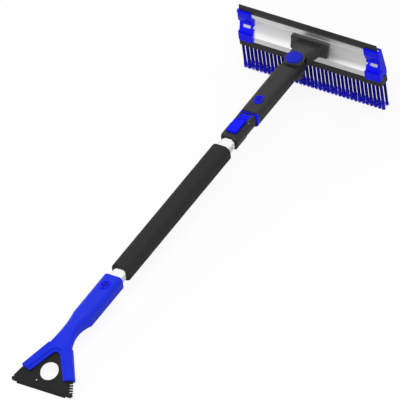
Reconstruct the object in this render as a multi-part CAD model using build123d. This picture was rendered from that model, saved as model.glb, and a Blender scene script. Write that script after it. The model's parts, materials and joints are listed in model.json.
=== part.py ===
"""Telescopic snow brush and ice scraper, as separate pieces.

Built about the pole: +Y runs along it to the brush head, +X to the head's right end and
+Z out of the push buttons, with the swivel axis through the origin.  The finished pieces
are then tipped so that the bristle tips and the scraper's edge rest on the ground.
Stations are distances in mm from the swivel axis towards the scraper.
"""
from build123d import *
import math
import os

os.makedirs("parts", exist_ok=True)

# ---- fits ----------------------------------------------------------------------------
SLIDE_GAP = 0.2      # between the telescoping tubes, all round
SEAT_GAP = 0.1       # a piece fixed on or in another
MOVING_GAP = 0.3     # between pieces that move past each other
RUNNING_GAP = 0.05   # a pin or shaft in its hole, radially
SOFT_GAP = 0.3       # foam round the tube
CUT = 1.0            # how far a cutting shape runs past what it cuts

# ---- tubes ---------------------------------------------------------------------------
TUBE_WIDTH = 24.5
TUBE_HEIGHT = 21.0
TUBE_CORNER = 7.5
TUBE_WALL = 1.4
INNER_WALL = 1.2
TUBE_IN_COLLAR = 32.0
TUBE_ABOVE_FOAM = 24.5       # bare stretches on either side of the foam
TUBE_BELOW_FOAM = 22.5
TUBE_IN_HANDLE = 64.0
TUBE_SPARE = 90.0            # free bore between the bush and the plug when closed
BUSH_LENGTH = 16.0
BUSH_SPIGOT = 12.0
BUSH_WALL = 1.6
PLUG_LENGTH = 10.0
EXTENSION = 300.0            # travel of the telescoping pole

# ---- foam grip -----------------------------------------------------------------------
FOAM_LENGTH = 334.0
FOAM_WIDTH = 37.0
FOAM_HEIGHT = 31.0
FOAM_CORNER = 12.0
FOAM_EDGE = 2.5

# ---- neck ----------------------------------------------------------------------------
NECK_TOP = 20.5              # station where its full section starts
NECK_LENGTH = 128.5
NECK_SOLID = 45.5            # from there to the end of the inner tube's socket
NECK_WIDTH = 36.0
NECK_HEIGHT = 27.0
NECK_CORNER = 8.0
NECK_EDGE = 1.0
RECESS_LENGTH = 3.6          # step between the neck's top face and the eye
RECESS_CHEEK = 3.0
RING_LENGTH = 6.0            # part of the coupling ring that shows
RING_WALL = 2.2
RING_SPIGOT = 10.0           # part of it fixed inside the neck
RING_SPIGOT_INSET = 3.0      # the spigot's outside below the neck's outside, all round
RING_SPIGOT_WALL = 1.4

# ---- swivel --------------------------------------------------------------------------
EYE_RADIUS = 17.0
TONGUE_RADIUS = 16.4
TONGUE_TOP = 6.2
TONGUE_BOTTOM = -9.2
EYE_TOP = 13.5
LOWER_PLATE = 5.0
BOSS_RADIUS = 13.2
BOSS_BOTTOM = -27.0
BOSS_FLOOR = 2.4
DISC_RADIUS = 14.6
DISC_RIM = 1.5               # upright part of the disc above the eye
DISC_DOME = 1.8
DISC_THICKNESS = 3.6
STEM_RADIUS = 6.0
PIVOT_TRAVEL = 5.4
GEAR_TEETH = 16
GEAR_ROOT_RADIUS = 8.8
GEAR_TIP_RADIUS = 10.6
GEAR_ROOT_SHARE = 0.28       # half a tooth's width over the pitch, at the root and at the tip
GEAR_TIP_SHARE = 0.15
GEAR_TOP = -4.0
GEAR_HEIGHT = 9.6
PIVOT_SCREW_RADIUS = 2.0
PIVOT_SCREW_HEAD = 3.8
PIVOT_SCREW_HEAD_HEIGHT = 2.2
PIVOT_SOCKET_DEPTH = 1.2
PIVOT_WIRE = 1.1
PIVOT_TURNS = 3
PIVOT_SPRING_RADIUS = 6.4

# ---- oval release buttons ------------------------------------------------------------
NECK_BUTTON_INSET = 31.7     # middle of each button from its moulding's open end
SCRAPER_BUTTON_INSET = 27.0
OVAL_LENGTH = 21.0
OVAL_WIDTH = 15.0
OVAL_THICKNESS = 2.6
OVAL_RIM = 1.8
OVAL_DISH = 1.2
OVAL_PROUD = 1.6
OVAL_RIBS = 5
OVAL_RIB_HEIGHT = 0.6
OVAL_STEM_RADIUS = 4.0
OVAL_TRAVEL = 1.8
OVAL_STEM_END = 2.0          # height of the stem's lower end above the pole's axis
OVAL_WIRE = 0.8
OVAL_TURNS = 5
OVAL_SPRING_RADIUS = 3.2

# ---- lock collar ---------------------------------------------------------------------
NOSE_LENGTH = 6.0            # spigot that seats in the coupling ring
COLLAR_UPPER_LENGTH = 29.5
COLLAR_LOWER_LENGTH = 32.5
COLLAR_UPPER_WIDTH = 31.0
COLLAR_LOWER_WIDTH = 32.5
COLLAR_UPPER_HEIGHT = 26.5
COLLAR_LOWER_HEIGHT = 27.3
COLLAR_SURFACE = 14.3        # height of its flat top above the pole's axis
COLLAR_BULGE = 2.0           # how far its sides swell beyond the flat top
COLLAR_TUCK = 4.5            # how far its underside is drawn in
COLLAR_TOP_CORNER = 1.2
COLLAR_LOW_CORNER = 4.0
COLLAR_CHAMFER = 1.2
COLLAR_MOUTH = 1.6           # width of the flare round the tube
COLLAR_FLARE = 45.0
LEVER_WIDTH = 19.5
PIN_INSET = 18.5             # lever pin from the collar's upper end
PIN_HEIGHT = 12.0
PIN_RADIUS = 1.25
PIN_LENGTH = 28.6
LEVER_HUB = 2.4
LEVER_INSET = 9.5            # lever's free end from the collar's lower end
LEVER_NOSE = 3.2             # paddle's front before the pin
PADDLE_SLOPE = 7.4           # length of the step up to the paddle's top
PADDLE_TOP = 19.2
PADDLE_THICKNESS = 4.6
PADDLE_TIP = 1.6             # chamfer of its free end
PADDLE_ROOT = 4.0            # slope from the hub to its underside
SHOE_CHAMFER = 1.5
SHOE_INSET = 0.7             # shoe from the collar's upper end
SHOE_BEFORE_LEVER = 1.5      # gap in front of the lever's nose
SHOE_LIFT = 0.6
LEVER_SWING = 75.0

# ---- scraper -------------------------------------------------------------------------
HANDLE_WIDTH = 36.0
HANDLE_HEIGHT = 27.0
HANDLE_CORNER = 8.0
SOCKET_LENGTH = 103.0
SHOULDER_LENGTH = 35.0       # from the socket to the waist
WAIST_WIDTH = 27.0
WAIST_HEIGHT = 21.0
WAIST_CORNER = 7.0
WAIST_RISE = 3.5             # its middle above the pole's axis
BEND_BELOW_WAIST = 31.5      # to where the blade's plane meets the pole's axis
BLADE_TILT = 26.0
FORK_WIDTH = 44.0            # over the arms where they part from the grip
FORK_REACH = 5.0             # all reaches are from the bend, in the blade's plane
ARM_SPAN = 102.0             # over the two arms' ends
ARM_REACH = 57.0
ARM_INNER_SPAN = 65.0
ARM_INNER_REACH = 62.3
ARM_CORNER = 2.5
CROTCH_REACH = 10.0          # where the fork's inner sides would meet
CROTCH_RADIUS = 9.0
ARM_ABOVE = 6.8              # over the blade
ARM_BELOW = 4.8
ARM_EDGE = 2.0
LEDGE_WIDTH = 6.0            # lower band that runs round the fork's inside
LEDGE_DEPTH = 2.2
BLADE_REACH = 89.0           # to the edge
BLADE_THICKNESS = 2.4
BLADE_SPAN = 117.0
BLADE_EDGE_SPAN = 94.0
BLADE_CORNER_REACH = 83.5
BLADE_NOTCH = 3.0
BLADE_ROOT_WIDTH = 20.0
BLADE_ROOT_REACH = -4.0
ARM_WALL = 3.0               # of the arms, beside the blade
BEVEL_LENGTH = 6.0
BEVEL_LAND = 0.7
TEETH = 4
TOOTH_PITCH = 4.4
TOOTH_DEPTH = 5.5
TOOTH_START = 62.5
HANG_HOLE_RADIUS = 16.5
HANG_HOLE_REACH = 52.6
PIN_HOLE_RADIUS = 1.6
PIN_HOLE_X = -15.0
PIN_HOLE_REACH = 73.6
BLADE_SCREW_RADIUS = 1.7
BLADE_SCREW_HEAD = 3.2
BLADE_SCREW_HEAD_HEIGHT = 1.8
BLADE_SCREW_X = 31.5
BLADE_SCREW_REACH = 42.0
BLADE_SCREW_TOP = 5.0        # how far it goes into the arm above the blade

# ---- brush head ----------------------------------------------------------------------
HEAD_LENGTH = 272.0
HEAD_FRONT = 45.5            # distance of the section's lip beyond the swivel axis
SECTION_TOP = 32.0
SECTION_BOTTOM = -27.3
SECTION_WALL = 2.2
LIP_HEIGHT = 11.0
HOLLOW_DEPTH = 9.0
HOLLOW_LOW = 2.0             # deepest line below the middle of the concave front
CROWN_SET_BACK = 3.0         # top edge of the section behind its lip
RIB_COUNT = 3
RIB_SIZE = 0.9
RIB_PITCH = 2.9
JAW_DEPTH = 7.0
JAW_WALL = 1.6
SQUEEGEE_THICKNESS = 3.2
SQUEEGEE_TIP = 1.4
SQUEEGEE_HEIGHT = 12.6
SQUEEGEE_SHOULDER = 7.0      # height at which it starts to thin
SQUEEGEE_INSET = 1.5         # its ends within the section's
STRIP_HEIGHT = 14.4
STRIP_DEPTH = 21.0
STRIP_OVERHANG = 2.5         # its ends beyond the section's
STRIP_CORNER = 3.0
RAIL_WIDTH = 7.0
RAIL_FOOT = 3.6
RAIL_HEIGHT = 4.0
RAIL_NECK = 1.6
FLOOR_BELOW_STRIP = 53.5     # bristle length below the strip at the middle row
ROW_COUNT = 3
ROW_PITCH = 6.5
TUFTS = 35                   # in the outer rows; the middle row stands in their gaps
TUFT_INSET = 0.9             # ends of the rows within the section's
SLICE_HEIGHT = 2.4           # backing that each row of bristles is fused to
SLICE_WALL = 1.6             # of the strip between two rows
STRAND = 1.7                 # width of one of the four strands that stand for a tuft
STRAND_SPREAD_ROOT = 1.1
STRAND_SPREAD_TIP = 1.2

# ---- head bracket --------------------------------------------------------------------
FLANGE_WIDTH = 72.5
FLANGE_TOP = 11.5
FLANGE_BOTTOM = -12.5
FLANGE_WALL = 4.0
FLANGE_CORNER = 3.0
WEB_WIDTH = 52.0             # where the web meets the flange
WEB_TOP = 4.0                # height of its top there
WEB_DRAFT = 2.0              # slope of its underside and start of its upper slope
WEB_START = 9.4              # distance beyond the swivel axis at which it leaves the eye
WEB_WAIST_WIDTH = 34.6       # at its narrowest
WEB_WAIST = 0.52             # share of the way there
BRACKET_SCREW_X = 24.0
BRACKET_SCREW_DEPTH = 3.0    # how far it goes into the flange
SPOT_FACE = 0.3              # depth of the flat seat of its head
SCREW_RADIUS = 1.6
SCREW_HEAD_RADIUS = 3.2
SCREW_HEAD_HEIGHT = 1.8
SOCKET_RADIUS = 1.0          # driver's socket in the heads of these and the blade's screws
SOCKET_DEPTH = 0.8

# ---- end caps ------------------------------------------------------------------------
CAP_WIDTH = 27.0
CAP_WALL = 2.4               # behind the section
CAP_SKIN = 3.0               # over the section's concave front
CAP_TOP_DEPTH = 12.6         # from the section's crown to the cap's back at the top
CAP_CORNER = 3.5
CAP_RISE = 2.0               # of the upper block over the section's top
CAP_FALL = 12.0              # height of the slope under the upper block
CAP_RETURN = 4.0             # depth of that slope
CAP_OUTWARD = 1.5            # the two blocks beyond the middle
CAP_OVERHANG = 1.5
CAP_STEP = 21.0              # height of the step in the upper block
CAP_UPPER_PROUD = 2.0
CAP_LOWER_PROUD = 4.2
CAP_LOWER_TOP = -11.0
WINDOW_WIDTH = 16.0
WINDOW_HEIGHT = 8.0
WINDOW_MIDDLE = -1.0
WINDOW_INSET = 6.0           # wall left between the window and the cap's inner edge
HOOK_RADIUS = 1.7
HOOK_MARGIN = 1.2            # of the notch round the hook
GRIP_GROOVES = 2
GROOVE = 1.2

# ---- places worked out from the sizes ------------------------------------------------
NECK_BOTTOM = NECK_TOP + NECK_LENGTH
NECK_BUTTON_STATION = NECK_BOTTOM - NECK_BUTTON_INSET
NOSE_TOP = NECK_BOTTOM + RING_WALL + MOVING_GAP
COLLAR_TOP = NOSE_TOP + NOSE_LENGTH
COLLAR_STEP = COLLAR_TOP + COLLAR_UPPER_LENGTH
COLLAR_BOTTOM = COLLAR_STEP + COLLAR_LOWER_LENGTH
PIN_STATION = COLLAR_TOP + PIN_INSET
PADDLE_START = PIN_STATION - LEVER_NOSE
LEVER_END = COLLAR_BOTTOM - LEVER_INSET
SHOE_TOP = COLLAR_TOP + SHOE_INSET
OUTER_TUBE_TOP = COLLAR_BOTTOM - TUBE_IN_COLLAR
FOAM_TOP = COLLAR_BOTTOM + TUBE_ABOVE_FOAM
HANDLE_TOP = FOAM_TOP + FOAM_LENGTH + TUBE_BELOW_FOAM
SCRAPER_BUTTON_STATION = HANDLE_TOP + SCRAPER_BUTTON_INSET
OUTER_TUBE_BOTTOM = HANDLE_TOP + TUBE_IN_HANDLE
INNER_TUBE_TOP = NECK_TOP + NECK_SOLID
INNER_TUBE_BOTTOM = OUTER_TUBE_BOTTOM - PLUG_LENGTH - TUBE_SPARE - BUSH_LENGTH
WAIST_START = HANDLE_TOP + SOCKET_LENGTH
WAIST_STATION = WAIST_START + SHOULDER_LENGTH
BLADE_BEND = WAIST_STATION + BEND_BELOW_WAIST

INNER_WIDTH = TUBE_WIDTH - 2 * TUBE_WALL - 2 * SLIDE_GAP
INNER_HEIGHT = TUBE_HEIGHT - 2 * TUBE_WALL - 2 * SLIDE_GAP
INNER_CORNER = TUBE_CORNER - TUBE_WALL - SLIDE_GAP
INNER_TOP = INNER_HEIGHT / 2
DISC_BOTTOM = EYE_TOP + DISC_RIM - DISC_THICKNESS
GEAR_BOTTOM = GEAR_TOP - GEAR_HEIGHT
LOWER_PLATE_TOP = TONGUE_BOTTOM - MOVING_GAP
EYE_BOTTOM = TONGUE_TOP + MOVING_GAP
LIP_TOP = SECTION_BOTTOM + LIP_HEIGHT
HOLLOW_Y = HEAD_FRONT + HOLLOW_DEPTH
CROWN_Y = HEAD_FRONT + CROWN_SET_BACK
BACK_Y = HOLLOW_Y + SECTION_WALL
FLANGE_FRONT_Y = HOLLOW_Y - SEAT_GAP - FLANGE_WALL
SCREW_TIP_Y = HOLLOW_Y - SEAT_GAP - BRACKET_SCREW_DEPTH
SCREW_SEAT_Y = BACK_Y - SPOT_FACE
HOLLOW_Z = (SECTION_TOP + LIP_TOP) / 2 - HOLLOW_LOW
SLOT_Y = CROWN_Y + JAW_WALL + SQUEEGEE_THICKNESS / 2
STRIP_Y = HEAD_FRONT + STRIP_DEPTH / 2
STRIP_BOTTOM = SECTION_BOTTOM - SEAT_GAP - STRIP_HEIGHT
TUFT_PITCH = (HEAD_LENGTH - 2 * TUFT_INSET) / TUFTS
CAP_OUTER = HEAD_LENGTH / 2 + CAP_OVERHANG
CAP_INNER = CAP_OUTER - CAP_WIDTH
CAP_BACK = HEAD_FRONT + STRIP_DEPTH + CAP_WALL

TILT = math.radians(BLADE_TILT)
BLADE_PLANE = Plane(
    origin=(0, -BLADE_BEND, 0), x_dir=(1, 0, 0), z_dir=(0, -math.sin(TILT), math.cos(TILT))
)
EDGE_POINT = BLADE_PLANE.from_local_coords((0, -BLADE_REACH, -BLADE_THICKNESS / 2))
GROUND_Z = STRIP_BOTTOM - FLOOR_BELOW_STRIP
GROUND_SLOPE = (EDGE_POINT.Z - GROUND_Z) / (EDGE_POINT.Y - STRIP_Y)
POLE_TIP = -math.degrees(math.atan(GROUND_SLOPE))
BASE = (Align.CENTER, Align.CENTER, Align.MIN)


# ---- shared shapes -------------------------------------------------------------------
def across(station):
    """Plane square to the pole at a station; extrusions from it run to the scraper."""
    return Plane(origin=(0, -station, 0), x_dir=(1, 0, 0), z_dir=(0, -1, 0))


def bar(width, height, corner, start, length, rise=0.0):
    """Rounded rectangular bar along the pole."""
    section = across(start) * Pos(0, rise) * RectangleRounded(width, height, corner)
    return extrude(section, length)


def disc(radius, bottom, height, x=0.0, y=0.0):
    return Pos(x, y, bottom) * Cylinder(radius, height, align=BASE)


def block(x_span, y_span, z_span):
    """Box given by its lowest and highest coordinate on each axis."""
    size = [high - low for low, high in (x_span, y_span, z_span)]
    return Pos(x_span[0], y_span[0], z_span[0]) * Box(*size, align=(Align.MIN,) * 3)


def side_profile(points, width, x=0.0):
    """Outline in the plane of Y and Z, drawn across a width centred on x."""
    outline = make_face(Plane.YZ * Polyline(*points, close=True))
    return Pos(x, 0, 0) * extrude(outline, width / 2, both=True)


def oval(length, width, bottom, height, y):
    """Upright stadium, long along the pole."""
    plan = Plane((0, y, bottom)) * Rot(0, 0, 90) * SlotOverall(length, width)
    return extrude(plan, height)


def coil(radius, wire, bottom, height, turns, x=0.0, y=0.0):
    """Open compression spring standing on its wire."""
    rise = height - wire
    path = Pos(x, y, bottom + wire / 2) * Helix(rise / turns, rise, radius)
    profile = Plane(path @ 0, z_dir=path % 0) * Circle(wire / 2)
    return sweep(profile, path=path)


def tube_bar(start, length, gap=0.0):
    """Solid bar of the outer tube's outline, grown by a gap."""
    return bar(TUBE_WIDTH + 2 * gap, TUBE_HEIGHT + 2 * gap, TUBE_CORNER + gap, start, length)


def inner_bar(start, length, gap=0.0):
    """Solid bar of the inner tube's outline, grown by a gap or shrunk by a negative one."""
    return bar(
        INNER_WIDTH + 2 * gap, INNER_HEIGHT + 2 * gap, INNER_CORNER + gap, start, length
    )


# ---- tubes ---------------------------------------------------------------------------
def stem_hole(station):
    return disc(OVAL_STEM_RADIUS + MOVING_GAP, 0, TUBE_HEIGHT, y=-station)


def make_outer_tube():
    length = OUTER_TUBE_BOTTOM - OUTER_TUBE_TOP
    tube = tube_bar(OUTER_TUBE_TOP, length)
    tube -= tube_bar(OUTER_TUBE_TOP - CUT, length + 2 * CUT, -TUBE_WALL)
    return tube - stem_hole(SCRAPER_BUTTON_STATION)


def make_inner_tube():
    length = INNER_TUBE_BOTTOM - INNER_TUBE_TOP
    tube = inner_bar(INNER_TUBE_TOP, length)
    tube -= inner_bar(INNER_TUBE_TOP - CUT, length + 2 * CUT, -INNER_WALL)
    return tube - stem_hole(NECK_BUTTON_STATION)


def make_tube_bush():
    """Hollow plug in the inner tube's lower end, with a foot that guides it."""
    spigot_gap = -INNER_WALL - SEAT_GAP
    foot = inner_bar(INNER_TUBE_BOTTOM, BUSH_LENGTH, SLIDE_GAP / 2)
    spigot = inner_bar(INNER_TUBE_BOTTOM - BUSH_SPIGOT, BUSH_SPIGOT, spigot_gap)
    bore = inner_bar(
        INNER_TUBE_BOTTOM - BUSH_SPIGOT, BUSH_SPIGOT + BUSH_LENGTH, spigot_gap - BUSH_WALL
    )
    return foot + spigot - bore


def make_tube_plug():
    """Closes the outer tube inside the scraper's handle."""
    return tube_bar(OUTER_TUBE_BOTTOM - PLUG_LENGTH, PLUG_LENGTH, -TUBE_WALL - SEAT_GAP)


def make_foam_grip():
    foam = bar(FOAM_WIDTH, FOAM_HEIGHT, FOAM_CORNER, FOAM_TOP, FOAM_LENGTH)
    ends = foam.edges().filter_by(Plane.XZ)
    foam = fillet(ends, FOAM_EDGE)
    return foam - tube_bar(FOAM_TOP - CUT, FOAM_LENGTH + 2 * CUT, SOFT_GAP)


# ---- oval release buttons ------------------------------------------------------------
def button_pocket(station, top):
    """Well for an oval button, from the tube up through a wall."""
    plan = (OVAL_LENGTH + 2 * MOVING_GAP, OVAL_WIDTH + 2 * MOVING_GAP)
    return oval(*plan, 0, top + CUT, -station)


def make_oval_button(station, top):
    """Dished cap with grip ribs across it, on a stem that goes through the tube."""
    y = -station
    crown = top + OVAL_PROUD
    cap = oval(OVAL_LENGTH, OVAL_WIDTH, crown - OVAL_THICKNESS, OVAL_THICKNESS, y)
    cap = chamfer(cap.edges().group_by(Axis.Z)[-1], OVAL_RIM / 3)
    dish_size = (OVAL_LENGTH - 2 * OVAL_RIM, OVAL_WIDTH - 2 * OVAL_RIM)
    dish = oval(*dish_size, crown - OVAL_DISH, OVAL_DISH, y)
    rib_pitch = (dish_size[0] - OVAL_RIM) / OVAL_RIBS
    ribs = Part()
    for index in range(OVAL_RIBS):
        middle = y + (index - (OVAL_RIBS - 1) / 2) * rib_pitch
        ribs += block(
            (-OVAL_WIDTH / 2, OVAL_WIDTH / 2),
            (middle - rib_pitch / 4, middle + rib_pitch / 4),
            (crown - OVAL_DISH, crown - OVAL_DISH + OVAL_RIB_HEIGHT),
        )
    stem_height = crown - OVAL_THICKNESS - OVAL_STEM_END
    stem = disc(OVAL_STEM_RADIUS, OVAL_STEM_END, stem_height, y=y)
    return cap - (dish - ribs) + stem


def make_button_spring(station, floor):
    height = OVAL_STEM_END - floor
    return coil(OVAL_SPRING_RADIUS, OVAL_WIRE, floor, height, OVAL_TURNS, y=-station)


# ---- neck ----------------------------------------------------------------------------
def neck_bar(start, length, gap=0.0):
    """Solid bar of the neck's outline, grown by a gap or shrunk by a negative one."""
    return bar(
        NECK_WIDTH + 2 * gap, NECK_HEIGHT + 2 * gap, NECK_CORNER + gap, start, length
    )


def make_neck():
    body = neck_bar(NECK_TOP, NECK_LENGTH)
    body = fillet(body.edges().filter_by(Plane.XZ).group_by(Axis.Y)[-1], NECK_EDGE)
    low = -NECK_TOP - RECESS_LENGTH
    inside = NECK_WIDTH / 2 - RECESS_CHEEK
    body -= block((-inside, inside), (low, 0), (TONGUE_TOP, NECK_HEIGHT))
    body -= block((-inside, inside), (low, 0), (-NECK_HEIGHT, TONGUE_BOTTOM))
    tongue = block(
        (-TONGUE_RADIUS, TONGUE_RADIUS), (low - CUT, 0), (TONGUE_BOTTOM, TONGUE_TOP)
    )
    tongue += disc(TONGUE_RADIUS, TONGUE_BOTTOM, TONGUE_TOP - TONGUE_BOTTOM)
    body += tongue
    body -= inner_bar(INNER_TUBE_TOP, NECK_LENGTH, SEAT_GAP)
    spigot_start = NECK_BOTTOM - RING_SPIGOT
    body -= neck_bar(spigot_start, RING_SPIGOT + CUT, SEAT_GAP - RING_SPIGOT_INSET)
    body -= button_pocket(NECK_BUTTON_STATION, NECK_HEIGHT / 2)
    disc_floor = DISC_BOTTOM - PIVOT_TRAVEL - MOVING_GAP
    body -= disc(DISC_RADIUS + MOVING_GAP, disc_floor, NECK_HEIGHT)
    body -= disc(STEM_RADIUS + RUNNING_GAP, TONGUE_BOTTOM, NECK_HEIGHT)
    gear_ceiling = GEAR_TOP + MOVING_GAP
    well_bottom = TONGUE_BOTTOM - CUT
    well = disc(GEAR_TIP_RADIUS + MOVING_GAP, well_bottom, gear_ceiling - well_bottom)
    return body - well


def make_coupling_ring():
    """Lines the neck's mouth and takes the collar's nose when the pole is closed."""
    ring = neck_bar(NECK_BOTTOM, RING_LENGTH)
    ring = chamfer(ring.edges().filter_by(Plane.XZ).group_by(Axis.Y)[0], RING_WALL / 3)
    ring -= neck_bar(NECK_BOTTOM + RING_WALL, RING_LENGTH, -RING_WALL)
    start = NECK_BOTTOM - RING_SPIGOT
    ring += neck_bar(start, RING_SPIGOT + RING_WALL, -RING_SPIGOT_INSET)
    bore = -RING_SPIGOT_INSET - RING_SPIGOT_WALL
    return ring - neck_bar(start - CUT, RING_SPIGOT + RING_LENGTH + 2 * CUT, bore)


# ---- swivel --------------------------------------------------------------------------
def gear_plan(gap=0.0):
    """Plan of the lock gear: straight-sided teeth that narrow to their tips."""
    root = GEAR_ROOT_RADIUS + gap
    tip = GEAR_TIP_RADIUS + gap
    step = 360 / GEAR_TEETH
    root_half = step * GEAR_ROOT_SHARE + math.degrees(gap / root)
    tip_half = step * GEAR_TIP_SHARE + math.degrees(gap / tip)
    points = []
    for tooth in range(GEAR_TEETH):
        middle = tooth * step
        corners = ((root, -root_half), (tip, -tip_half), (tip, tip_half), (root, root_half))
        for radius, offset in corners:
            angle = math.radians(middle + offset)
            points.append((radius * math.cos(angle), radius * math.sin(angle)))
    return make_face(Polyline(*points, close=True))


def make_pivot_button():
    """Domed disc on the stem that the neck turns on."""
    rim_top = EYE_TOP + DISC_RIM
    half = Wire(
        [
            Line((0, GEAR_TOP), (STEM_RADIUS, GEAR_TOP)),
            Line((STEM_RADIUS, GEAR_TOP), (STEM_RADIUS, DISC_BOTTOM)),
            Line((STEM_RADIUS, DISC_BOTTOM), (DISC_RADIUS, DISC_BOTTOM)),
            Line((DISC_RADIUS, DISC_BOTTOM), (DISC_RADIUS, rim_top)),
            dome_arc(rim_top),
            Line((0, rim_top + DISC_DOME), (0, GEAR_TOP)),
        ]
    )
    button = revolve(Plane.XZ * make_face(half), Axis.Z)
    return button - disc(PIVOT_SCREW_RADIUS, GEAR_TOP, DISC_BOTTOM - GEAR_TOP)


def dome_arc(rim_top):
    """Arc of the disc's dome, from its rim to its middle."""
    radius = (DISC_RADIUS**2 + DISC_DOME**2) / (2 * DISC_DOME)
    x = DISC_RADIUS / 2
    sag = radius - math.sqrt(radius**2 - x**2)
    return ThreePointArc(
        (DISC_RADIUS, rim_top), (x, rim_top + DISC_DOME - sag), (0, rim_top + DISC_DOME)
    )


def make_lock_gear():
    gear = Pos(0, 0, GEAR_BOTTOM) * extrude(gear_plan(), GEAR_HEIGHT)
    return gear - disc(PIVOT_SCREW_RADIUS + SEAT_GAP, GEAR_BOTTOM - CUT, GEAR_HEIGHT + 2 * CUT)


def make_pivot_screw():
    """Goes up through the boss and the gear into the button's stem."""
    shank = disc(PIVOT_SCREW_RADIUS, BOSS_BOTTOM, DISC_BOTTOM - BOSS_BOTTOM)
    head_bottom = BOSS_BOTTOM - PIVOT_SCREW_HEAD_HEIGHT
    head = disc(PIVOT_SCREW_HEAD, head_bottom, PIVOT_SCREW_HEAD_HEIGHT)
    socket = extrude(RegularPolygon(PIVOT_SCREW_RADIUS, 6), PIVOT_SOCKET_DEPTH)
    socket = Pos(0, 0, head_bottom) * socket
    return shank + head - socket


def make_pivot_spring():
    floor = BOSS_BOTTOM + BOSS_FLOOR
    return coil(PIVOT_SPRING_RADIUS, PIVOT_WIRE, floor, GEAR_BOTTOM - floor, PIVOT_TURNS)


# ---- lock collar ---------------------------------------------------------------------
def collar_bar(width, height, start, length):
    """Stretch of the collar: flat crisp top, swollen sides and a narrower underside."""
    top, low = COLLAR_SURFACE, COLLAR_SURFACE - height
    half, middle = width / 2, COLLAR_SURFACE - height / 2
    flat, foot = half - COLLAR_BULGE, half - COLLAR_TUCK
    outline = [
        Line((-flat, top), (flat, top)),
        ThreePointArc((flat, top), (half, middle), (foot, low)),
        Line((foot, low), (-foot, low)),
        ThreePointArc((-foot, low), (-half, middle), (-flat, top)),
    ]
    section = make_face(Wire(outline))
    corners = section.vertices().group_by(Axis.Y)
    section = fillet(corners[-1], COLLAR_TOP_CORNER)
    section = fillet(section.vertices().group_by(Axis.Y)[0], COLLAR_LOW_CORNER)
    return extrude(across(start) * section, length)


def make_lock_collar():
    nose = neck_bar(NOSE_TOP, NOSE_LENGTH, -RING_WALL - MOVING_GAP)
    upper = collar_bar(
        COLLAR_UPPER_WIDTH, COLLAR_UPPER_HEIGHT, COLLAR_TOP, COLLAR_UPPER_LENGTH
    )
    lower = collar_bar(
        COLLAR_LOWER_WIDTH, COLLAR_LOWER_HEIGHT, COLLAR_STEP, COLLAR_LOWER_LENGTH
    )
    lower = chamfer(lower.edges().filter_by(Plane.XZ).group_by(Axis.Y)[0], COLLAR_CHAMFER)
    body = nose + upper + lower
    body -= inner_bar(NOSE_TOP - CUT, COLLAR_BOTTOM, SLIDE_GAP)
    body -= tube_bar(OUTER_TUBE_TOP, COLLAR_BOTTOM, SEAT_GAP)
    mouth = across(COLLAR_BOTTOM) * RectangleRounded(
        TUBE_WIDTH + 2 * COLLAR_MOUTH, TUBE_HEIGHT + 2 * COLLAR_MOUTH, TUBE_CORNER + COLLAR_MOUTH
    )
    body -= extrude(mouth, -COLLAR_MOUTH, taper=COLLAR_FLARE)
    half = LEVER_WIDTH / 2 + MOVING_GAP
    slot_end = OUTER_TUBE_TOP - SEAT_GAP
    body -= block((-half, half), (-slot_end, -COLLAR_TOP), (0, COLLAR_UPPER_HEIGHT))
    ledge = PADDLE_TOP - PADDLE_THICKNESS - MOVING_GAP
    body -= block((-half, half), (-LEVER_END - MOVING_GAP, -slot_end), (ledge, PADDLE_TOP))
    return body - pin_bar(COLLAR_UPPER_WIDTH, PIN_RADIUS + RUNNING_GAP)


def pin_bar(length, radius):
    axis = Plane(origin=(0, -PIN_STATION, PIN_HEIGHT), z_dir=(1, 0, 0))
    return extrude(axis * Circle(radius), length / 2, both=True)


def make_lever_pin():
    return pin_bar(PIN_LENGTH, PIN_RADIUS)


def make_lock_lever():
    """Paddle that lies along the collar, with the hub that turns on the pin."""
    y_end, y_start, y_pin = -LEVER_END, -PADDLE_START, -PIN_STATION
    underside = PADDLE_TOP - PADDLE_THICKNESS
    paddle = side_profile(
        [
            (y_end, underside),
            (y_end, PADDLE_TOP - PADDLE_TIP),
            (y_end + PADDLE_TIP, PADDLE_TOP),
            (y_start - PADDLE_SLOPE, PADDLE_TOP),
            (y_start, COLLAR_SURFACE - MOVING_GAP),
            (y_pin + LEVER_HUB, PIN_HEIGHT),
            (y_pin - LEVER_HUB, PIN_HEIGHT),
            (y_pin - LEVER_HUB - PADDLE_ROOT, underside),
        ],
        LEVER_WIDTH,
    )
    lever = paddle + pin_bar(LEVER_WIDTH, LEVER_HUB)
    return lever - pin_bar(LEVER_WIDTH + 2 * CUT, PIN_RADIUS + RUNNING_GAP)


def make_clamp_shoe():
    """Pad between the cheeks that the lever's hub presses on the inner tube."""
    y_low = -PADDLE_START + SHOE_BEFORE_LEVER
    y_high = -SHOE_TOP
    surface = COLLAR_SURFACE - SHOE_LIFT
    shoe = side_profile(
        [
            (y_low, INNER_TOP + SEAT_GAP),
            (y_low, surface - SHOE_CHAMFER),
            (y_low + SHOE_CHAMFER, surface),
            (y_high - SHOE_CHAMFER, surface),
            (y_high, surface - SHOE_CHAMFER),
            (y_high, INNER_TOP + SEAT_GAP),
        ],
        LEVER_WIDTH,
    )
    return shoe - inner_bar(COLLAR_TOP, COLLAR_UPPER_LENGTH, SEAT_GAP)


# ---- brush head ----------------------------------------------------------------------
def front_curve(offset=0.0):
    """Concave front of the section, moved back by an offset."""
    return ThreePointArc(
        (CROWN_Y + offset, SECTION_TOP),
        (HOLLOW_Y + offset, HOLLOW_Z),
        (HEAD_FRONT + offset, LIP_TOP),
    )


def lengthwise(profile, length):
    """Profile in the plane of Y and Z, drawn along the head."""
    return extrude(Plane.YZ * profile, length / 2, both=True)


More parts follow.
